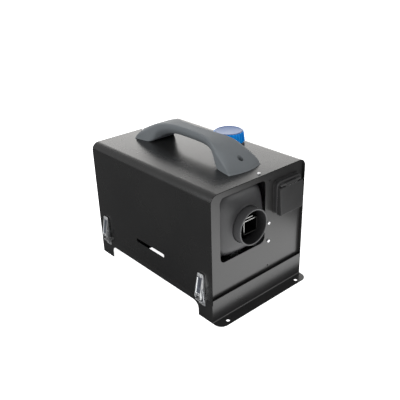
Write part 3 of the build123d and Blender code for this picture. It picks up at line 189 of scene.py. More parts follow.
def zinc_spangle(name, light, roughness, scale):
    """Hot-dip zinc: a patchwork of dull and bright crystals with soft edges."""
    material, tree, shader = new_material(name, roughness, metallic=1.0)
    place = tree.nodes.new("ShaderNodeTexCoord")
    crystals = add_node(tree, "ShaderNodeTexVoronoi", Scale=scale, Randomness=1.0)
    tree.links.new(place.outputs["Object"], crystals.inputs["Vector"])
    shades = tree.nodes.new("ShaderNodeSeparateColor")
    tree.links.new(crystals.outputs["Color"], shades.inputs["Color"])
    dull = tuple(0.72 * c for c in light)
    tree.links.new(tint(tree, shades.outputs["Red"], dull, light), shader.inputs["Base Color"])
    gloss = spread(tree, shades.outputs["Green"], 0, 1, roughness - 0.1, roughness + 0.12)
    tree.links.new(gloss, shader.inputs["Roughness"])
    rim = use_group(tree, edge_wear_and_glint, Radius=0.0006)
    relief = add_node(tree, "ShaderNodeBump", Distance=0.00005, Strength=0.5)
    tree.links.new(shades.outputs["Blue"], relief.inputs["Height"])
    tree.links.new(rim.outputs["Normal"], relief.inputs["Normal"])
    tree.links.new(relief.outputs["Normal"], shader.inputs["Normal"])
    return material


tray_zinc = zinc_spangle("tray_zinc", (0.56, 0.57, 0.58), 0.38, 85.0)
dress(tray_zinc, "floor_tray", "cradle_brackets", "divider")

# ---------------------------------------------------------------- burner and heat exchanger
# The exchanger and its nose are die-cast aluminium with a grainy skin; the nose shows inside the
# outlet. The burner tube, glow plug and exhaust are steel that heat has tinted.


def heat_tinted(name, cold, hot, roughness, middle, reach):
    """Steel with a straw and brown tint that comes and goes along the part, and fine scratches."""
    material, tree, shader = new_material(name, roughness, metallic=1.0)
    skin = use_group(tree, surface_grain, Grain=900.0, Patch=26.0)
    place = tree.nodes.new("ShaderNodeTexCoord")
    along = tree.nodes.new("ShaderNodeSeparateXYZ")
    tree.links.new(place.outputs["Object"], along.inputs["Vector"])
    heat = add_node(tree, "ShaderNodeMath", operation="MULTIPLY_ADD")
    tree.links.new(skin.outputs["Cloud"], heat.inputs[0])
    heat.inputs[1].default_value = reach
    tree.links.new(along.outputs["Z"], heat.inputs[2])
    tone = spread(tree, heat.outputs["Value"], middle, middle + reach, 0, 1)
    tree.links.new(tint(tree, tone, cold, hot), shader.inputs["Base Color"])
    gloss = spread(tree, skin.outputs["Height"], 0.3, 0.7, roughness - 0.08, roughness + 0.12)
    tree.links.new(gloss, shader.inputs["Roughness"])
    relief = add_node(tree, "ShaderNodeBump", Distance=0.00004, Strength=0.6)
    tree.links.new(skin.outputs["Height"], relief.inputs["Height"])
    tree.links.new(relief.outputs["Normal"], shader.inputs["Normal"])
    return material


cast_skin = finish_surface(
    "cast_skin", (0.5, 0.5, 0.505), (0.64, 0.64, 0.645), (0.85, 0.85, 0.86), 0.42, metallic=1.0,
    grain=700.0, patch=40.0, height=0.0002, edge=0.0006, wear_and_glint=1.0)
dress(cast_skin, "heat_exchanger", "combustion_impeller")


def lit_and_shaded_cast(name, bright, shade_colour, roughness, edges):
    """Cast metal with painted light and shade: bright as if lit only up to three given places along x, y and
    z, and near black as painted shade elsewhere.
    """
    material, tree, shader = new_material(name, roughness, metallic=0.9)
    skin = use_group(tree, surface_grain, Grain=500.0, Patch=140.0)
    place = tree.nodes.new("ShaderNodeTexCoord")
    parts = tree.nodes.new("ShaderNodeSeparateXYZ")
    tree.links.new(place.outputs["Object"], parts.inputs["Vector"])
    lit_share = spread(tree, skin.outputs["Cloud"], 0.25, 0.6, 0.55, 1)
    for axis, (low, high, start, end) in zip("XYZ", edges):
        both = add_node(tree, "ShaderNodeMath", operation="MULTIPLY")
        tree.links.new(lit_share, both.inputs[0])
        tree.links.new(spread(tree, parts.outputs[axis], low, high, start, end), both.inputs[1])
        lit_share = both.outputs["Value"]
    tree.links.new(tint(tree, lit_share, shade_colour, bright), shader.inputs["Base Color"])
    relief = add_node(tree, "ShaderNodeBump", Distance=0.0001, Strength=0.6)
    tree.links.new(skin.outputs["Height"], relief.inputs["Height"])
    tree.links.new(relief.outputs["Normal"], shader.inputs["Normal"])
    return material


# the nose is painted bright only at its upper left front edges, as painted light, and near black elsewhere,
# as painted shade inside the collar
nose_cast = lit_and_shaded_cast(
    "nose_cast", (0.5, 0.5, 0.49), (0.006, 0.006, 0.0055), 0.5,
    ((-0.024, -0.019, 1, 0), (-0.1978, -0.1972, 1, 0), (0.174, 0.178, 0, 1)))
dress(nose_cast, "exchanger_nose")
exhaust_steel = heat_tinted("exhaust_steel", (0.5, 0.49, 0.47), (0.34, 0.25, 0.16), 0.36, 0.05, 0.06)
dress(exhaust_steel, "burner_tube", "glow_plug", "exhaust_pipe")

# ---------------------------------------------------------------- blower
# A round motor turns the fan and the combustion air wheel on one ground steel shaft. The fan is
# moulded in black glass-filled nylon, the motor can is drawn steel with a brushed skin.


def brushed(name, dark, light, roughness, stretch, edge=0.0005):
    """Drawn or turned steel: long fine brush lines in the direction given by the stretch."""
    material, tree, shader = new_material(name, roughness, metallic=1.0)
    place = tree.nodes.new("ShaderNodeTexCoord")
    line = add_node(tree, "ShaderNodeMapping")
    line.inputs["Scale"].default_value = stretch
    tree.links.new(place.outputs["Object"], line.inputs["Vector"])
    strokes = add_node(tree, "ShaderNodeTexNoise", Scale=300.0, Detail=5.0, Roughness=0.65)
    tree.links.new(line.outputs["Vector"], strokes.inputs["Vector"])
    skin = use_group(tree, surface_grain, Grain=500.0, Patch=30.0)
    base = tint(tree, spread(tree, skin.outputs["Cloud"], 0.35, 0.65, 0, 1), dark, light)
    rim = use_group(tree, edge_wear_and_glint, Radius=edge)
    # edges are lightened towards white: partly rubbed steel, partly a painted glint along the edges
    edge_glint = tuple(min(1.0, 1.15 * c) for c in light)
    tree.links.new(tint(tree, rim.outputs["Mask"], base, edge_glint), shader.inputs["Base Color"])
    gloss = spread(tree, strokes.outputs["Fac"], 0.35, 0.65, roughness - 0.08, roughness + 0.1)
    tree.links.new(gloss, shader.inputs["Roughness"])
    relief = add_node(tree, "ShaderNodeBump", Distance=0.00002, Strength=0.5)
    tree.links.new(strokes.outputs["Fac"], relief.inputs["Height"])
    tree.links.new(rim.outputs["Normal"], relief.inputs["Normal"])
    tree.links.new(relief.outputs["Normal"], shader.inputs["Normal"])
    return material


motor_steel = brushed("motor_steel", (0.42, 0.42, 0.43), (0.55, 0.55, 0.56), 0.36, (1.0, 0.05, 1.0))
dress(motor_steel, "blower_motor", "fuel_pump", "motor_shaft")
black_nylon = finish_surface(
    "black_nylon", (0.014, 0.014, 0.015), (0.022, 0.022, 0.023), (0.07, 0.07, 0.075), 0.46,
    grain=1100.0, patch=20.0, height=0.00008, edge=0.0009, wear_and_glint=0.3)
dress(black_nylon, "fan_wheel", "casing_lower", "casing_upper", "intake_grille", "control_unit")
dress(black_nylon, "air_intake_pipe", "cable_gland")

# ---------------------------------------------------------------- outlet hood and duct collar
# The hood is black glass-filled nylon. Its collar, on which the duct is clamped, is turned up
# here from a drawn profile: a plain wall, a rolled rim and a lip that reaches into the hood.
collar_middle = Vector((-0.0323, 0, 0.1835))
collar_steps = 96
hood_face_y = -0.186
bore_side = 0.0348
# distances from the collar's axis and in front of the hood's face, round the wall from the root
collar_profile = (
    (0.0375, 0.0), (0.0375, 0.0205), (0.0377, 0.0218), (0.0375, 0.0227), (0.0369, 0.0230),
    (0.0358, 0.0230), (0.0350, 0.0226), (0.0346, 0.0217), (0.0345, 0.0200), (0.0345, -0.0030),
    (0.0358, -0.0030), (0.0360, -0.0014),
)
# vertices nearer to a place than this are on it
on_it = 0.00001


def edit_only(piece):
    """Goes into edit mode on one piece, with nothing else selected."""
    if bpy.context.mode != "OBJECT":
        bpy.ops.object.mode_set(mode="OBJECT")
    bpy.ops.object.select_all(action="DESELECT")
    bpy.context.view_layer.objects.active = piece
    piece.select_set(True)
    bpy.ops.object.mode_set(mode="EDIT")


def new_piece(name):
    """Names the primitive just added, puts its place in its mesh and starts editing it."""
    piece = bpy.context.object
    piece.name = name
    piece.data.name = name
    bpy.ops.object.transform_apply(location=True, rotation=True, scale=True)
    edit_only(piece)
    return piece


def pick(piece, kind, wanted):
    """Selects the vertices, edges or faces of the edited piece that pass a test."""
    bpy.ops.mesh.select_mode(type=kind)
    bpy.ops.mesh.select_all(action="DESELECT")
    mesh = bmesh.from_edit_mesh(piece.data)
    for item in {"VERT": mesh.verts, "EDGE": mesh.edges, "FACE": mesh.faces}[kind]:
        if wanted(item):
            item.select_set(True)
    mesh.select_flush_mode()
    bmesh.update_edit_mesh(piece.data)


def leave_edit(piece, material, smooth=35):
    """Leaves edit mode and gives the piece its smoothing and material."""
    bpy.ops.object.mode_set(mode="OBJECT")
    bpy.ops.object.shade_smooth_by_angle(angle=math.radians(smooth))
    piece.data.materials.append(material)


# the collar's outside is painted a lighter grey than the hood's black nylon: painted light on the wall that
# faces away from the lamps; its bore and back keep the black nylon
collar_lit_nylon = finish_surface(
    "collar_lit_nylon", (0.07, 0.07, 0.072), (0.084, 0.084, 0.087), (0.11, 0.11, 0.115), 0.45,
    specular=0.4, grain=1100.0, patch=20.0, height=0.00004, edge=0.0004, wear_and_glint=0.5)
bpy.ops.object.select_all(action="DESELECT")
bpy.ops.mesh.primitive_plane_add(size=0.001, location=(0, 0, 0))
duct_collar = new_piece("duct_collar")
bpy.ops.mesh.select_all(action="SELECT")
bpy.ops.mesh.merge(type="CENTER")
last_point = Vector((0, 0, 0))
for radius, out in collar_profile:
    point = collar_middle + Vector((radius, hood_face_y - out, 0))
    if last_point.length == 0:
        bpy.ops.transform.translate(value=point)
    else:
        bpy.ops.mesh.extrude_region_move(TRANSFORM_OT_translate={"value": point - last_point})
    last_point = point
bpy.ops.mesh.select_all(action="SELECT")
bpy.ops.mesh.edge_face_add()
bpy.ops.mesh.delete(type="ONLY_FACE")
bpy.ops.mesh.select_all(action="SELECT")
bpy.ops.mesh.spin(steps=collar_steps, angle=2 * math.pi, center=collar_middle, axis=(0, 1, 0))
bpy.ops.mesh.select_all(action="SELECT")
bpy.ops.mesh.remove_doubles(threshold=on_it)
bpy.ops.mesh.normals_make_consistent(inside=False)
leave_edit(duct_collar, collar_lit_nylon, smooth=50)
duct_collar.data.materials.append(black_nylon)
for face in duct_collar.data.polygons:
    spoke = face.center - collar_middle
    if math.hypot(spoke.x, spoke.z) < bore_side or face.center.y > hood_face_y:
        face.material_index = 1
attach(duct_collar, "case")
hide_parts("outlet_collar")

hood_nylon = finish_surface(
    "hood_nylon", (0.026, 0.0262, 0.0275), (0.036, 0.0362, 0.038), (0.09, 0.09, 0.095), 0.4,
    specular=0.42, grain=1100.0, patch=14.0, height=0.00004, edge=0.0006, wear_and_glint=0.3)

# the hood runs from a rounded oblong at the back into the round root of the collar
hood_middle = Vector((-0.04075, 0, 0.191))
hood_half_width, hood_half_height = 0.0605, 0.0683
hood_points = 72
hood_wall = 0.0022
hood_squareness = 5
# per ring: radius about the collar, share of the oblong outline, and place along y
hood_rings = (
    (0.0385, 0.0, -0.1905), (0.0403, 0.0, -0.1896), (0.0440, 0.03, -0.1884), (0.0465, 0.2, -0.1868),
    (0.0475, 0.45, -0.1843), (0.0475, 0.72, -0.1810), (0.0475, 0.9, -0.1768), (0.0475, 0.985, -0.1700),
    (0.0475, 1.0, -0.1600), (0.0475, 1.0, -0.1500),
)


def hood_point(turn, radius, share, y):
    """A point of the hood: between a circle round the collar and the hood's oblong outline."""
    toward = Vector((math.cos(turn), 0, math.sin(turn)))
    wide = sum(abs(part / half) ** hood_squareness
               for part, half in ((toward.x, hood_half_width), (toward.z, hood_half_height)))
    oblong = hood_middle + toward / wide ** (1 / hood_squareness)
    point = (collar_middle + radius * toward).lerp(oblong, share)
    point.y = y
    return point


bpy.ops.object.select_all(action="DESELECT")
bpy.ops.mesh.primitive_circle_add(
    vertices=hood_points, radius=hood_rings[0][0], rotation=(math.pi / 2, 0, 0),
    location=(collar_middle.x, hood_rings[0][2], collar_middle.z))
outlet_dome = new_piece("outlet_dome")
turns = [math.atan2(v.co.z - collar_middle.z, v.co.x - collar_middle.x)
         for v in bmesh.from_edit_mesh(outlet_dome.data).verts]
bpy.ops.mesh.select_all(action="SELECT")
for inner_ring, outer_ring in zip(hood_rings, hood_rings[1:]):
    step = (0, outer_ring[2] - inner_ring[2], 0)
    bpy.ops.mesh.extrude_region_move(TRANSFORM_OT_translate={"value": step})
    for turn in turns:
        start = hood_point(turn, inner_ring[0], inner_ring[1], outer_ring[2])
        pick(outlet_dome, "VERT", lambda vert: (vert.co - start).length < on_it)
        bpy.ops.transform.translate(value=hood_point(turn, *outer_ring) - start)
    pick(outlet_dome, "EDGE", lambda edge: all(abs(v.co.y - outer_ring[2]) < on_it for v in edge.verts))
bpy.ops.mesh.select_all(action="SELECT")
bpy.ops.mesh.normals_make_consistent(inside=False)
leave_edit(outlet_dome, hood_nylon, smooth=60)
wall = outlet_dome.modifiers.new("wall", "SOLIDIFY")
wall.thickness = hood_wall
wall.offset = -1
bpy.ops.object.modifier_apply(modifier=wall.name)
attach(outlet_dome, "case")
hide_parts("outlet_hood")

# ---------------------------------------------------------------- fuel tank and fuel line
# The tank is blow-moulded in natural polyethylene, milky and slightly uneven. The filter is clear
# nylon, the hoses are black rubber, the strap and clip zinc-coated steel.
tank_skin = finish_surface(
    "tank_skin", (0.68, 0.68, 0.63), (0.78, 0.78, 0.73), (0.85, 0.85, 0.82), 0.42,
    grain=320.0, patch=11.0, height=0.00012, edge=0.0015, wear_and_glint=0.4)
tank_shader = tank_skin.node_tree.nodes["Principled BSDF"]
tank_shader.inputs["Subsurface Weight"].default_value = 0.25
tank_shader.inputs["Subsurface Scale"].default_value = 0.008
dress(tank_skin, "fuel_tank", "tank_outlet", "fuel_filter")
hose_rubber = finish_surface(
    "hose_rubber", (0.016, 0.016, 0.016), (0.026, 0.026, 0.025), (0.05, 0.05, 0.05), 0.6,
    grain=900.0, patch=25.0, height=0.00006, wear_and_glint=0.3)
dress(hose_rubber, "hose_tank_filter", "hose_filter_pump", "hose_pump_heater")
clip_zinc = zinc_spangle("clip_zinc", (0.6, 0.61, 0.63), 0.3, 260.0)
dress(clip_zinc, "tank_strap", "pump_clip")

# ---------------------------------------------------------------- cover, end panels and screws
# The cover is one inverted U of satin black painted sheet with rounded long edges. The end panels
# stand a little inside it and are held by bright pan head screws.
case_coat = finish_surface(
    "case_coat", (0.0085, 0.0085, 0.0086), (0.0115, 0.0114, 0.0112), (0.06, 0.06, 0.06), 0.27,
    patch=6.0, height=0.000006, edge=0.0004, wear_and_glint=0.25)
# the cover's front and rear cut edges are painted near black and almost without gloss: painted shade for the
# dark gap under the cover's edge
shaded_cut_edge = finish_surface(
    "shaded_cut_edge", (0.004, 0.004, 0.004), (0.007, 0.007, 0.007), (0.015, 0.015, 0.015), 0.6,
    specular=0.03, edge=0.0002, wear_and_glint=0.2)
panel_coat = finish_surface(
    "panel_coat", (0.015, 0.015, 0.0152), (0.02, 0.0198, 0.0193), (0.08, 0.08, 0.08), 0.3,
    specular=0.55, height=0.00001, wear_and_glint=0.3)
dress(case_coat, "cover")
cover = nodes["cover"]
cut_face_y = 0.1948
cover.data.materials.append(shaded_cut_edge)
for face in cover.data.polygons:
    if abs(face.normal.y) > 0.9 and abs(face.center.y) > cut_face_y:
        face.material_index = 1
dress(panel_coat, "front_panel", "rear_panel")
screw_steel = brushed(
    "screw_steel", (0.66, 0.66, 0.67), (0.8, 0.8, 0.81), 0.24, (1.0, 1.0, 0.4), edge=0.0003)
dress(screw_steel, "case_screws", "lid_pin")
# the handle's screws are painted near black: painted shade of the deep wells they sit in
screw_shaded_black = brushed(
    "screw_shaded_black", (0.012, 0.012, 0.013), (0.03, 0.03, 0.031), 0.4, (1.0, 1.0, 0.4), edge=0.0003)
dress(screw_shaded_black, "handle_screws")

# ---------------------------------------------------------------- toggle latches
# Each lever is pressed from zinc-plated sheet: a bright rim round a sunken panel, flanges with
# the holes of its pins, and a cut-out at its foot. The sunken panel is painted a darker, bluer grey:
# painted shade and a painted reflection of the dark floor. One is modelled and turned into the other three.
latch_zinc = brushed("latch_zinc", (0.78, 0.79, 0.8), (0.92, 0.93, 0.93), 0.44, (1.0, 1.0, 0.08))
latch_recess_shade = brushed("latch_recess_shade", (0.22, 0.24, 0.29), (0.38, 0.41, 0.47), 0.34, (1.0, 1.0, 0.08))
bail_wire = brushed("bail_wire", (0.4, 0.41, 0.43), (0.55, 0.56, 0.58), 0.3, (1.0, 0.1, 1.0))
dress(latch_zinc, "latch_pins", "latch_rivets", "latch_strikes")
dress(bail_wire, "latch_bases")
latch_corners = ("front_left", "front_right", "rear_left", "rear_right")
for corner in latch_corners:
    dress(bail_wire, "bail_" + corner)

# the lever is drawn on the left wall at y = 0; distances from the wall are outwards
wall_x = -0.131
latch_y = 0.165
lever_half = 0.0082
lever_low, lever_high = 0.0495, 0.104
lever_outer, lever_inner = 0.0130, 0.0020
# per ring of the lever from its foot to its tip: height, and its outer and inner distance
lever_rings = (
    (lever_low, lever_outer, lever_inner), (0.0605, 0.0119, 0.0032), (0.0970, 0.0044, 0.0020),
    (lever_high, 0.0034, 0.0016),
)
foot_round, tab_round = 0.0052, 0.0023
lever_rim = 0.0021
lever_step = 0.0006
lever_sink = 0.0011
lever_sheet = 0.0012
lever_edge = 0.0004
panel_half, panel_low, panel_high = 0.0055, 0.062, 0.096
channel_half = 0.007
channel_low, channel_high = 0.040, 0.097
channel_foot_out, channel_tip_out = 0.0170, 0.0044
cutter_out, cutter_reach = 0.005, 0.01
# of the opening in the foot and the notch above it: height, turn and width
foot_cuts = ((0.0515, 0, (0.03, 0.0142, 0.014)), (0.0564, math.pi / 4, (0.03, 0.0095, 0.0095)))
# of the holes for the lever's pin and for the bail: distance from the wall, height and radius
pin_holes = ((0.0075, 0.055, 0.00156), (0.0070, 0.073, 0.00116))


def cut_away(piece, cutter):
    """Cuts the active cutter's shape out of a piece and removes the cutter."""
    bpy.ops.object.select_all(action="DESELECT")
    bpy.context.view_layer.objects.active = piece
    piece.select_set(True)
    cut = piece.modifiers.new("cut", "BOOLEAN")
    cut.object = cutter
    cut.operation = "DIFFERENCE"
    cut.solver = "EXACT"
    bpy.ops.object.modifier_apply(modifier=cut.name)
    bpy.data.objects.remove(cutter, do_unlink=True)


def soften(piece, width, segments, angle):
    """Rounds the edges that turn by more than an angle."""
    bpy.ops.object.select_all(action="DESELECT")
    bpy.context.view_layer.objects.active = piece
    piece.select_set(True)
    edge = piece.modifiers.new("soft", "BEVEL")
    edge.width = width
    edge.segments = segments
    edge.limit_method = "ANGLE"
    edge.angle_limit = math.radians(angle)
    bpy.ops.object.modifier_apply(modifier=edge.name)


def at_ring(z):
    """Test for a vertex at a height."""
    return lambda vert: abs(vert.co.z - z) < on_it


bpy.ops.object.select_all(action="DESELECT")
lever_middle_x = wall_x - (lever_outer + lever_inner) / 2
bpy.ops.mesh.primitive_cube_add(
    size=1, location=(lever_middle_x, 0, (lever_low + lever_high) / 2),
    scale=(lever_outer - lever_inner, 2 * lever_half, lever_high - lever_low))
first_lever = new_piece("toggle_lever_front_left")
pick(first_lever, "EDGE", lambda edge: abs(edge.verts[0].co.z - edge.verts[1].co.z) > on_it)
bpy.ops.mesh.subdivide(number_cuts=2)
cube_rings = sorted({round(vert.co.z, 6) for vert in bmesh.from_edit_mesh(first_lever.data).verts})
for old_z, (new_z, _, _) in reversed(list(zip(cube_rings, lever_rings))):
    pick(first_lever, "VERT", at_ring(old_z))
    bpy.ops.transform.translate(value=(0, 0, new_z - old_z))
for z, outer, inner in lever_rings:
    pick(first_lever, "VERT", lambda vert: at_ring(z)(vert) and vert.co.x < lever_middle_x)
    bpy.ops.transform.translate(value=(lever_outer - outer, 0, 0))
    pick(first_lever, "VERT", lambda vert: at_ring(z)(vert) and abs(vert.co.x - wall_x + lever_inner) < on_it)
    bpy.ops.transform.translate(value=(lever_inner - inner, 0, 0))
pick(first_lever, "EDGE", lambda edge: all(at_ring(lever_low)(vert) for vert in edge.verts)
     and abs(edge.verts[0].co.y - edge.verts[1].co.y) > lever_half)
bpy.ops.mesh.bevel(offset=foot_round, segments=6, affect="EDGES")
pick(first_lever, "EDGE", lambda edge: all(at_ring(lever_high)(vert) for vert in edge.verts)
     and abs(edge.verts[0].co.y - edge.verts[1].co.y) < on_it)
bpy.ops.mesh.bevel(offset=tab_round, segments=4, affect="EDGES")
pick(first_lever, "FACE", lambda face: face.normal.x < -0.9
     and panel_low < face.calc_center_median().z < panel_high)
bpy.ops.mesh.inset(thickness=lever_rim)
bpy.ops.mesh.inset(thickness=lever_step)
bpy.ops.transform.translate(value=(lever_sink, 0, 0))

# the channel behind the panel follows its slope
channel_depth = lever_sheet + lever_sink
bpy.ops.object.mode_set(mode="OBJECT")
bpy.ops.object.select_all(action="DESELECT")
bpy.ops.mesh.primitive_cube_add(
    size=1, location=(wall_x - cutter_out, 0, (channel_low + channel_high) / 2),
    scale=(2 * cutter_reach, 2 * channel_half, channel_high - channel_low))
channel = new_piece("channel_cutter")
for height, out in ((channel_high, channel_tip_out), (channel_low, channel_foot_out)):
    pick(channel, "VERT", lambda vert: vert.co.x < wall_x - cutter_out and at_ring(height)(vert))
    bpy.ops.transform.translate(value=(cutter_out + cutter_reach - out + channel_depth, 0, 0))
bpy.ops.object.mode_set(mode="OBJECT")
cut_away(first_lever, channel)

# the foot is open between its flanges, with a notch above, so that it swings past the ears
for height, turned, size in foot_cuts:
    bpy.ops.object.select_all(action="DESELECT")
    bpy.ops.mesh.primitive_cube_add(
        size=1, location=(wall_x - cutter_out, 0, height), rotation=(turned, 0, 0), scale=size)
    foot_opening = new_piece("foot_cutter")
    bpy.ops.object.mode_set(mode="OBJECT")
    cut_away(first_lever, foot_opening)
for out, height, radius in pin_holes:
    bpy.ops.object.select_all(action="DESELECT")
    bpy.ops.mesh.primitive_cylinder_add(
        vertices=32, radius=radius, depth=4 * lever_half, location=(wall_x - out, 0, height),
        rotation=(math.pi / 2, 0, 0))
    pin_hole = new_piece("pin_cutter")
    bpy.ops.object.mode_set(mode="OBJECT")
    cut_away(first_lever, pin_hole)
soften(first_lever, lever_edge, segments=3, angle=30)
bpy.ops.object.shade_smooth_by_angle(angle=math.radians(35))
first_lever.data.materials.append(latch_zinc)
first_lever.data.materials.append(latch_recess_shade)
# the sunken panel's face gets the darker, bluer steel: painted shade and a painted reflection in the recess
for face in first_lever.data.polygons:
    inside = abs(face.center.y) < panel_half and panel_low < face.center.z < panel_high
    if face.normal.x < -0.9 and inside:
        face.material_index = 1

levers = {"front_left": first_lever}
for corner in latch_corners[1:]:
    bpy.ops.object.select_all(action="DESELECT")
    bpy.context.view_layer.objects.active = first_lever
    first_lever.select_set(True)
    bpy.ops.object.duplicate(linked=False)
    levers[corner] = bpy.context.object
    levers[corner].name = "toggle_lever_" + corner
for corner, lever in levers.items():
    edit_only(lever)
    bpy.ops.mesh.select_all(action="SELECT")
    if corner.endswith("right"):
        bpy.ops.transform.rotate(value=math.pi, orient_axis="Z", center_override=(0, 0, 0))
    bpy.ops.transform.translate(value=(0, -latch_y if corner.startswith("front") else latch_y, 0))
    bpy.ops.object.mode_set(mode="OBJECT")
    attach(lever, corner + "_lever")
    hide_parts("lever_" + corner)

# ---------------------------------------------------------------- carrying handle
# A thick moulding in slate grey nylon: a flat grip that widens into two feet, each held down by
# a screw that sits deep in a well. Its edges are soft and its skin has a fine spark-eroded grain.
case_top = 0.2765
handle_length = 0.324
handle_width = 0.088
handle_rise = 0.050
foot_arc = 0.009
# per ring, from the middle outwards: place along the half length, height, half width and height
# of the finger gap, as shares of the handle's own sizes
handle_rings = (
    (0.0, 1.0, 0.318, 0.56), (0.16, 0.995, 0.327, 0.56), (0.309, 0.985, 0.372, 0.553),
    (0.432, 0.957, 0.478, 0.448), (0.549, 0.888, 0.648, 0.265), (0.63, 0.805, 0.762, 0.01),
    (0.741, 0.642, 0.88, 0.0), (0.864, 0.42, 0.962, 0.0), (1.0, 0.1, 1.0, 0.0),
)
handle_columns = (-1.0, -0.76, -0.4, 0.0, 0.4, 0.76, 1.0)
handle_rows = (0.0, 0.1, 0.76, 1.0)
# share of its height that the rim of each foot ring falls below the crown
foot_crown = {5: 0.09, 6: 0.19, 7: 0.32}
# where the finger gap is over this share, the ring is part of the grip: its underside narrows and
# its side row rises by these shares
finger_gap = 0.1
grip_taper = 0.6
grip_side_row = 0.34
foot_lean, lean_above = 0.003, 0.003
sole_height = 0.0008
base_crease, corner_crease = 0.75, 0.1
corner_start, corner_width = 0.15, 0.0001
well_place = 0.139
# of the well for the screw's head and of its hole: radius, and lowest place above the top sheet
screw_wells = ((0.006, 0.008), (0.0027, -0.002))
well_depth = 0.06
handle_nylon = finish_surface(
    "handle_nylon", (0.132, 0.144, 0.153), (0.156, 0.169, 0.178), (0.22, 0.23, 0.24), 0.55,
    specular=0.28, grain=1000.0, patch=12.0, height=0.00012, edge=0.0008, wear_and_glint=0.5)


def spaced(start, stop, count):
    """Evenly spaced places, ends included."""
    return [start + (stop - start) * i / (count - 1) for i in range(count)]


bpy.ops.object.select_all(action="DESELECT")
bpy.ops.mesh.primitive_cube_add(
    size=1, location=(0, 0, case_top + handle_rise / 2), scale=(handle_width, handle_length, handle_rise))
carrying_handle = new_piece("carrying_handle")
for axis, cuts in ((0, len(handle_columns) - 2), (2, len(handle_rows) - 2), (1, 2 * len(handle_rings) - 3)):
    pick(carrying_handle, "EDGE", lambda edge: [
        i for i in range(3) if abs(edge.verts[0].co[i] - edge.verts[1].co[i]) > on_it] == [axis])
    bpy.ops.mesh.subdivide(number_cuts=cuts)
columns = spaced(-handle_width / 2, handle_width / 2, len(handle_columns))
for old, share in list(zip(columns, handle_columns))[1:-1]:
    pick(carrying_handle, "VERT", lambda vert: abs(vert.co.x - old) < on_it)
    bpy.ops.transform.translate(value=(share * handle_width / 2 - old, 0, 0))
rows = spaced(case_top, case_top + handle_rise, len(handle_rows))
for old, share in list(zip(rows, handle_rows))[1:-1]:
    pick(carrying_handle, "VERT", lambda vert: abs(vert.co.z - old) < on_it)
    bpy.ops.transform.translate(value=(0, 0, case_top + share * handle_rise - old))
ring_places = spaced(-handle_length / 2, handle_length / 2, 2 * len(handle_rings) - 1)
mesh = bmesh.from_edit_mesh(carrying_handle.data)
ring_verts = [{v.index for v in mesh.verts if abs(v.co.y - place) < on_it} for place in ring_places]
middle = len(handle_rings) - 1
for i, place in enumerate(ring_places):
    share, top, half, gap = handle_rings[abs(i - middle)]
    y = math.copysign(share * handle_length / 2, place)
    pick(carrying_handle, "VERT", lambda vert: vert.index in ring_verts[i])
    bpy.ops.transform.translate(value=(0, y - place, 0))
    bpy.ops.transform.resize(value=(half, 1, top - gap), center_override=(0, y, case_top))
    bpy.ops.transform.translate(value=(0, 0, gap * handle_rise))
    if gap > finger_gap:
        height = (top - gap) * handle_rise
        low = case_top + gap * handle_rise
        row = low + handle_rows[1] * height
        pick(carrying_handle, "VERT", lambda vert: vert.index in ring_verts[i]
             and abs(vert.co.z - low) < on_it)
        bpy.ops.transform.resize(value=(grip_taper, 1, 1), center_override=(0, y, low))
        pick(carrying_handle, "VERT", lambda vert: vert.index in ring_verts[i]
             and abs(vert.co.z - row) < on_it)
        bpy.ops.transform.translate(value=(0, 0, grip_side_row * height))
    elif abs(i - middle) in foot_crown:
        rim_x = half * handle_width / 2
        pick(carrying_handle, "VERT", lambda vert: vert.index in ring_verts[i]
             and abs(abs(vert.co.x) - rim_x) < on_it)
        kept = 1 - foot_crown[abs(i - middle)]
        bpy.ops.transform.resize(value=(1, 1, kept), center_override=(0, y, case_top))
for end, ring in ((-1, ring_verts[0]), (1, ring_verts[-1])):
    for share in handle_columns:
        x = share * handle_width / 2
        pick(carrying_handle, "VERT", lambda vert: vert.index in ring and abs(vert.co.x - x) < on_it)
        bpy.ops.transform.translate(value=(0, -end * foot_arc * share * share, 0))
    pick(carrying_handle, "VERT", lambda vert: vert.index in ring and vert.co.z > case_top + lean_above)
    bpy.ops.transform.translate(value=(0, -end * foot_lean, 0))
pick(carrying_handle, "EDGE", lambda edge: all(v.co.z < case_top + sole_height for v in edge.verts)
     and any(abs(face.normal.z) < 0.5 for face in edge.link_faces))
bpy.ops.transform.edge_crease(value=base_crease)
pick(carrying_handle, "EDGE", lambda edge: abs(edge.verts[0].co.y - edge.verts[1].co.y) < corner_width
     and all(abs(v.co.y) > corner_start and abs(abs(v.co.x) - handle_width / 2) < on_it for v in edge.verts))
bpy.ops.transform.edge_crease(value=corner_crease)
bpy.ops.object.mode_set(mode="OBJECT")
smooth = carrying_handle.modifiers.new("smooth", "SUBSURF")
smooth.levels = smooth.render_levels = 3
bpy.ops.object.modifier_apply(modifier=smooth.name)
for end in (-1, 1):
    for radius, low in screw_wells:
        bpy.ops.object.select_all(action="DESELECT")
        bpy.ops.mesh.primitive_cylinder_add(
            vertices=48, radius=radius, depth=well_depth,
            location=(0, end * well_place, case_top + low + well_depth / 2))
        well = new_piece("well_cutter")
        bpy.ops.object.mode_set(mode="OBJECT")
        cut_away(carrying_handle, well)
leave_edit(carrying_handle, handle_nylon, smooth=40)
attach(carrying_handle, "case")
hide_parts("handle")

# ---------------------------------------------------------------- fuel cap
# A screw cap moulded in bright blue polypropylene: a tapered skirt with thirty gripping ribs, a
# shallow dish in its top, and a ring below that runs on the neck of the tank.
cap_middle = Vector((0.087, -0.017, 0))
cap_bottom, cap_top = 0.2806, 0.3035
cap_low_radius, cap_high_radius = 0.0342, 0.0313
cap_wall = 0.0025
cap_edge, cap_soft = 0.0014, 0.00035
cap_inside = 0.2985
cap_seat = 0.2938
ring_outer, ring_inner = 0.0273, 0.0243
rib_count = 30
rib_steps = 6
rib_reach = 0.0012
rim_width = 0.0035
dish_step, dish_depth = 0.0009, 0.0006
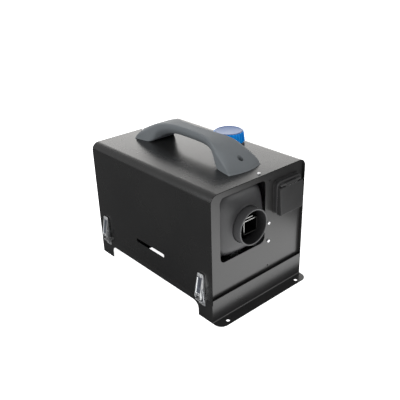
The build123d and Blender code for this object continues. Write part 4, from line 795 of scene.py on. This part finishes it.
# the top's painted shade, a darker and greyer blue, reaches this far down
top_depth = 0.001
skirt_gap = 0.0044
cap_blue = finish_surface(
    "cap_blue", (0.0005, 0.3, 0.93), (0.001, 0.36, 1.0), (0.03, 0.5, 1.0), 0.38,
    specular=0.18, grain=1300.0, patch=30.0, edge=0.0004, wear_and_glint=0.5)
# the top is painted a darker, greyer and glossier blue than the skirt of the same moulding: painted shade on
# the top, under which the reflection of the sky shows whiter
cap_top_painted_shade = finish_surface(
    "cap_top_painted_shade", (0.026, 0.09, 0.27), (0.054, 0.138, 0.35), (0.12, 0.35, 0.7), 0.36,
    specular=0.6, grain=1000.0, patch=55.0, height=0.00005, wear_and_glint=0.6)

bpy.ops.object.select_all(action="DESELECT")
bpy.ops.mesh.primitive_cylinder_add(
    vertices=rib_steps * rib_count, radius=cap_low_radius, depth=cap_top - cap_edge - cap_bottom,
    location=(cap_middle.x, cap_middle.y, (cap_top - cap_edge + cap_bottom) / 2), end_fill_type="NGON")
filler_cap = new_piece("filler_cap")
pick(filler_cap, "VERT", lambda vert: vert.co.z > cap_seat)
narrow = cap_high_radius / cap_low_radius
bpy.ops.transform.resize(value=(narrow, narrow, 1), center_override=(cap_middle.x, cap_middle.y, 0))


def turn_of(face):
    """Place of a side face within its rib, counted in faces of the skirt."""
    side = face.calc_center_median() - cap_middle
    turns = math.atan2(side.y, side.x) / (2 * math.pi)
    return round(turns * rib_steps * rib_count - 0.5) % rib_steps


pick(filler_cap, "FACE", lambda face: abs(face.normal.z) < 0.5 and turn_of(face) in (0, 1, 2))
bpy.ops.mesh.extrude_region_shrink_fatten(TRANSFORM_OT_shrink_fatten={"value": rib_reach})
# a level face with more corners than the cap has ribs is a whole disc
pick(filler_cap, "FACE", lambda face: face.normal.z > 0.9 and len(face.verts) > rib_count)
bpy.ops.mesh.extrude_region_move(TRANSFORM_OT_translate={"value": (0, 0, cap_edge)})
shrunk = 1 - cap_edge / cap_high_radius
bpy.ops.transform.resize(value=(shrunk, shrunk, 1), center_override=(cap_middle.x, cap_middle.y, 0))
bpy.ops.mesh.inset(thickness=rim_width)
bpy.ops.mesh.inset(thickness=dish_step)
bpy.ops.transform.translate(value=(0, 0, -dish_depth))
# below: the hollow of the skirt, the gap round the ring, the ring itself, and the hollow in it
for thickness, rise in (
    (cap_wall, cap_inside - cap_bottom), (skirt_gap, 0), (0, cap_bottom - cap_inside),
    (ring_outer - ring_inner, cap_seat - cap_bottom),
):
    pick(filler_cap, "FACE", lambda face: face.normal.z < -0.9 and len(face.verts) > rib_count)
    if thickness:
        bpy.ops.mesh.inset(thickness=thickness)
    if rise:
        bpy.ops.mesh.extrude_region_move(TRANSFORM_OT_translate={"value": (0, 0, rise)})
pick(filler_cap, "FACE", lambda face: face.normal.z > 0.5
     and face.calc_center_median().z > cap_top - top_depth)
bpy.ops.object.mode_set(mode="OBJECT")
filler_cap.data.materials.append(cap_blue)
filler_cap.data.materials.append(cap_top_painted_shade)
edit_only(filler_cap)
filler_cap.active_material_index = 1
bpy.ops.object.material_slot_assign()
bpy.ops.object.mode_set(mode="OBJECT")
soften(filler_cap, cap_soft, segments=2, angle=32)
bpy.ops.object.shade_smooth_by_angle(angle=math.radians(40))
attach(filler_cap, "cap")
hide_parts("fuel_cap", "cap_grip")
dress(hose_rubber, "cap_seal")

# ---------------------------------------------------------------- control pod
# A rubber-skinned housing on a gasket, with a moulded lid that swings up over a controller. The
# controller has a dark display window and four grey silicone buttons.
pod_skin = finish_surface(
    "pod_skin", (0.02, 0.02, 0.0205), (0.028, 0.028, 0.0285), (0.08, 0.08, 0.08), 0.5,
    grain=1400.0, patch=18.0, height=0.00008, edge=0.0014, wear_and_glint=0.25)
# the lid's edges are lightened strongly towards light grey: a painted highlight along them
lid_skin = finish_surface(
    "lid_skin", (0.024, 0.024, 0.0243), (0.031, 0.031, 0.0313), (0.3, 0.3, 0.3), 0.45,
    specular=0.26, grain=1400.0, patch=14.0, height=0.00004, edge=0.0014, wear_and_glint=1.0)
gasket_rubber = finish_surface(
    "gasket_rubber", (0.016, 0.016, 0.016), (0.024, 0.024, 0.0235), (0.05, 0.05, 0.05), 0.62,
    grain=900.0, patch=20.0, height=0.00008, edge=0.0008, wear_and_glint=0.3)
dress(pod_skin, "pod_housing", "controller")
dress(lid_skin, "pod_lid")
dress(gasket_rubber, "pod_gasket")
button_silicone = finish_surface(
    "button_silicone", (0.24, 0.24, 0.245), (0.3, 0.3, 0.305), (0.4, 0.4, 0.4), 0.55,
    grain=1600.0, patch=60.0, height=0.00004, edge=0.0005, wear_and_glint=0.6)
dress(button_silicone, "button_power", "button_set", "button_up", "button_down")
display_glass = finish_surface(
    "display_glass", (0.006, 0.012, 0.022), (0.01, 0.02, 0.035), (0.03, 0.04, 0.05), 0.12,
    grain=300.0, patch=45.0, height=0.000004, edge=0.0003, wear_and_glint=0.3)
dress(display_glass, "screen")

# ---------------------------------------------------------------- floor, lights and camera
# A plain white floor and surround. A wide card stands behind the heater, one lies on the floor in
# front of it, and two hang to its right and left; they show only as soft reflections in the paint.
bpy.ops.object.select_all(action="DESELECT")
bpy.ops.mesh.primitive_plane_add(size=14.0)
floor = bpy.context.object
floor.name = "studio_floor"
floor_paint, floor_tree, floor_shader = new_material("floor_paint", 0.9, specular=0.0)
floor_shader.inputs["Emission Color"].default_value = (1, 1, 1, 1)
seen = floor_tree.nodes.new("ShaderNodeLightPath")
floor_tree.links.new(seen.outputs["Is Camera Ray"], floor_shader.inputs["Emission Strength"])
floor_tree.links.new(
    tint(floor_tree, seen.outputs["Is Camera Ray"], (0.16, 0.16, 0.16), (0.9, 0.9, 0.9)),
    floor_shader.inputs["Base Color"])
floor.data.materials.append(floor_paint)

world = bpy.data.worlds.new("studio_world")
world.use_nodes = True
bpy.context.scene.world = world
sky_tree = world.node_tree
sky = sky_tree.nodes["Background"]
sky.inputs["Color"].default_value = (1, 1, 1, 1)
sky_seen = sky_tree.nodes.new("ShaderNodeLightPath")
sky_tree.links.new(
    spread(sky_tree, sky_seen.outputs["Is Camera Ray"], 0, 1, 0.64, 1.02), sky.inputs["Strength"])


def soft_card(name, place, target, size, brightness, colour):
    """A rectangular soft light that faces a point, with the same brightness all over."""
    data = bpy.data.lights.new(name, "AREA")
    data.shape = "RECTANGLE"
    data.size, data.size_y = size
    data.energy = brightness * math.pi * size[0] * size[1]
    data.color = colour
    light = bpy.data.objects.new(name, data)
    bpy.context.scene.collection.objects.link(light)
    light.location = place
    light.rotation_euler = (Vector(target) - Vector(place)).to_track_quat("-Z", "Y").to_euler()
    light.visible_camera = False
    return light


soft_card("back_card", (1.35, 1.73, 0.7), (0, 0, 0.7), (2.8, 1.36), 2.1, (1, 0.985, 0.96))
soft_card("front_card", (-0.39, -0.97, 0.002), (-0.39, -0.97, 1.0), (1.40, 1.5), 2.1, (1, 1, 1))
soft_card("key_card", (1.2, -1.8, 0.9), (0, 0, 0.2), (0.8, 0.8), 3.0, (1, 1, 1))
soft_card("left_card", (-1.7, 0.2, 1.1), (0, 0, 0.3), (1.6, 1.2), 3.9, (0.97, 0.985, 1))

camera_place = Vector((-0.730494, -0.864529, 0.708834))
camera_look = Vector((0.5864725, 0.68162039, -0.43754274))
camera_roll = math.radians(-1.7632)
focal_pixels, picture_pixels = 568.828, 400
camera_data = bpy.data.cameras.new("studio_camera")
camera_data.sensor_width = 36.0
camera_data.lens = focal_pixels / picture_pixels * camera_data.sensor_width
camera = bpy.data.objects.new("studio_camera", camera_data)
bpy.context.scene.collection.objects.link(camera)
turned = camera_look.to_track_quat("-Z", "Y").to_matrix() @ Matrix.Rotation(camera_roll, 3, "Z")
camera.matrix_world = Matrix.Translation(camera_place) @ turned.to_4x4()
bpy.context.scene.camera = camera
bpy.context.scene.view_settings.view_transform = "Standard"
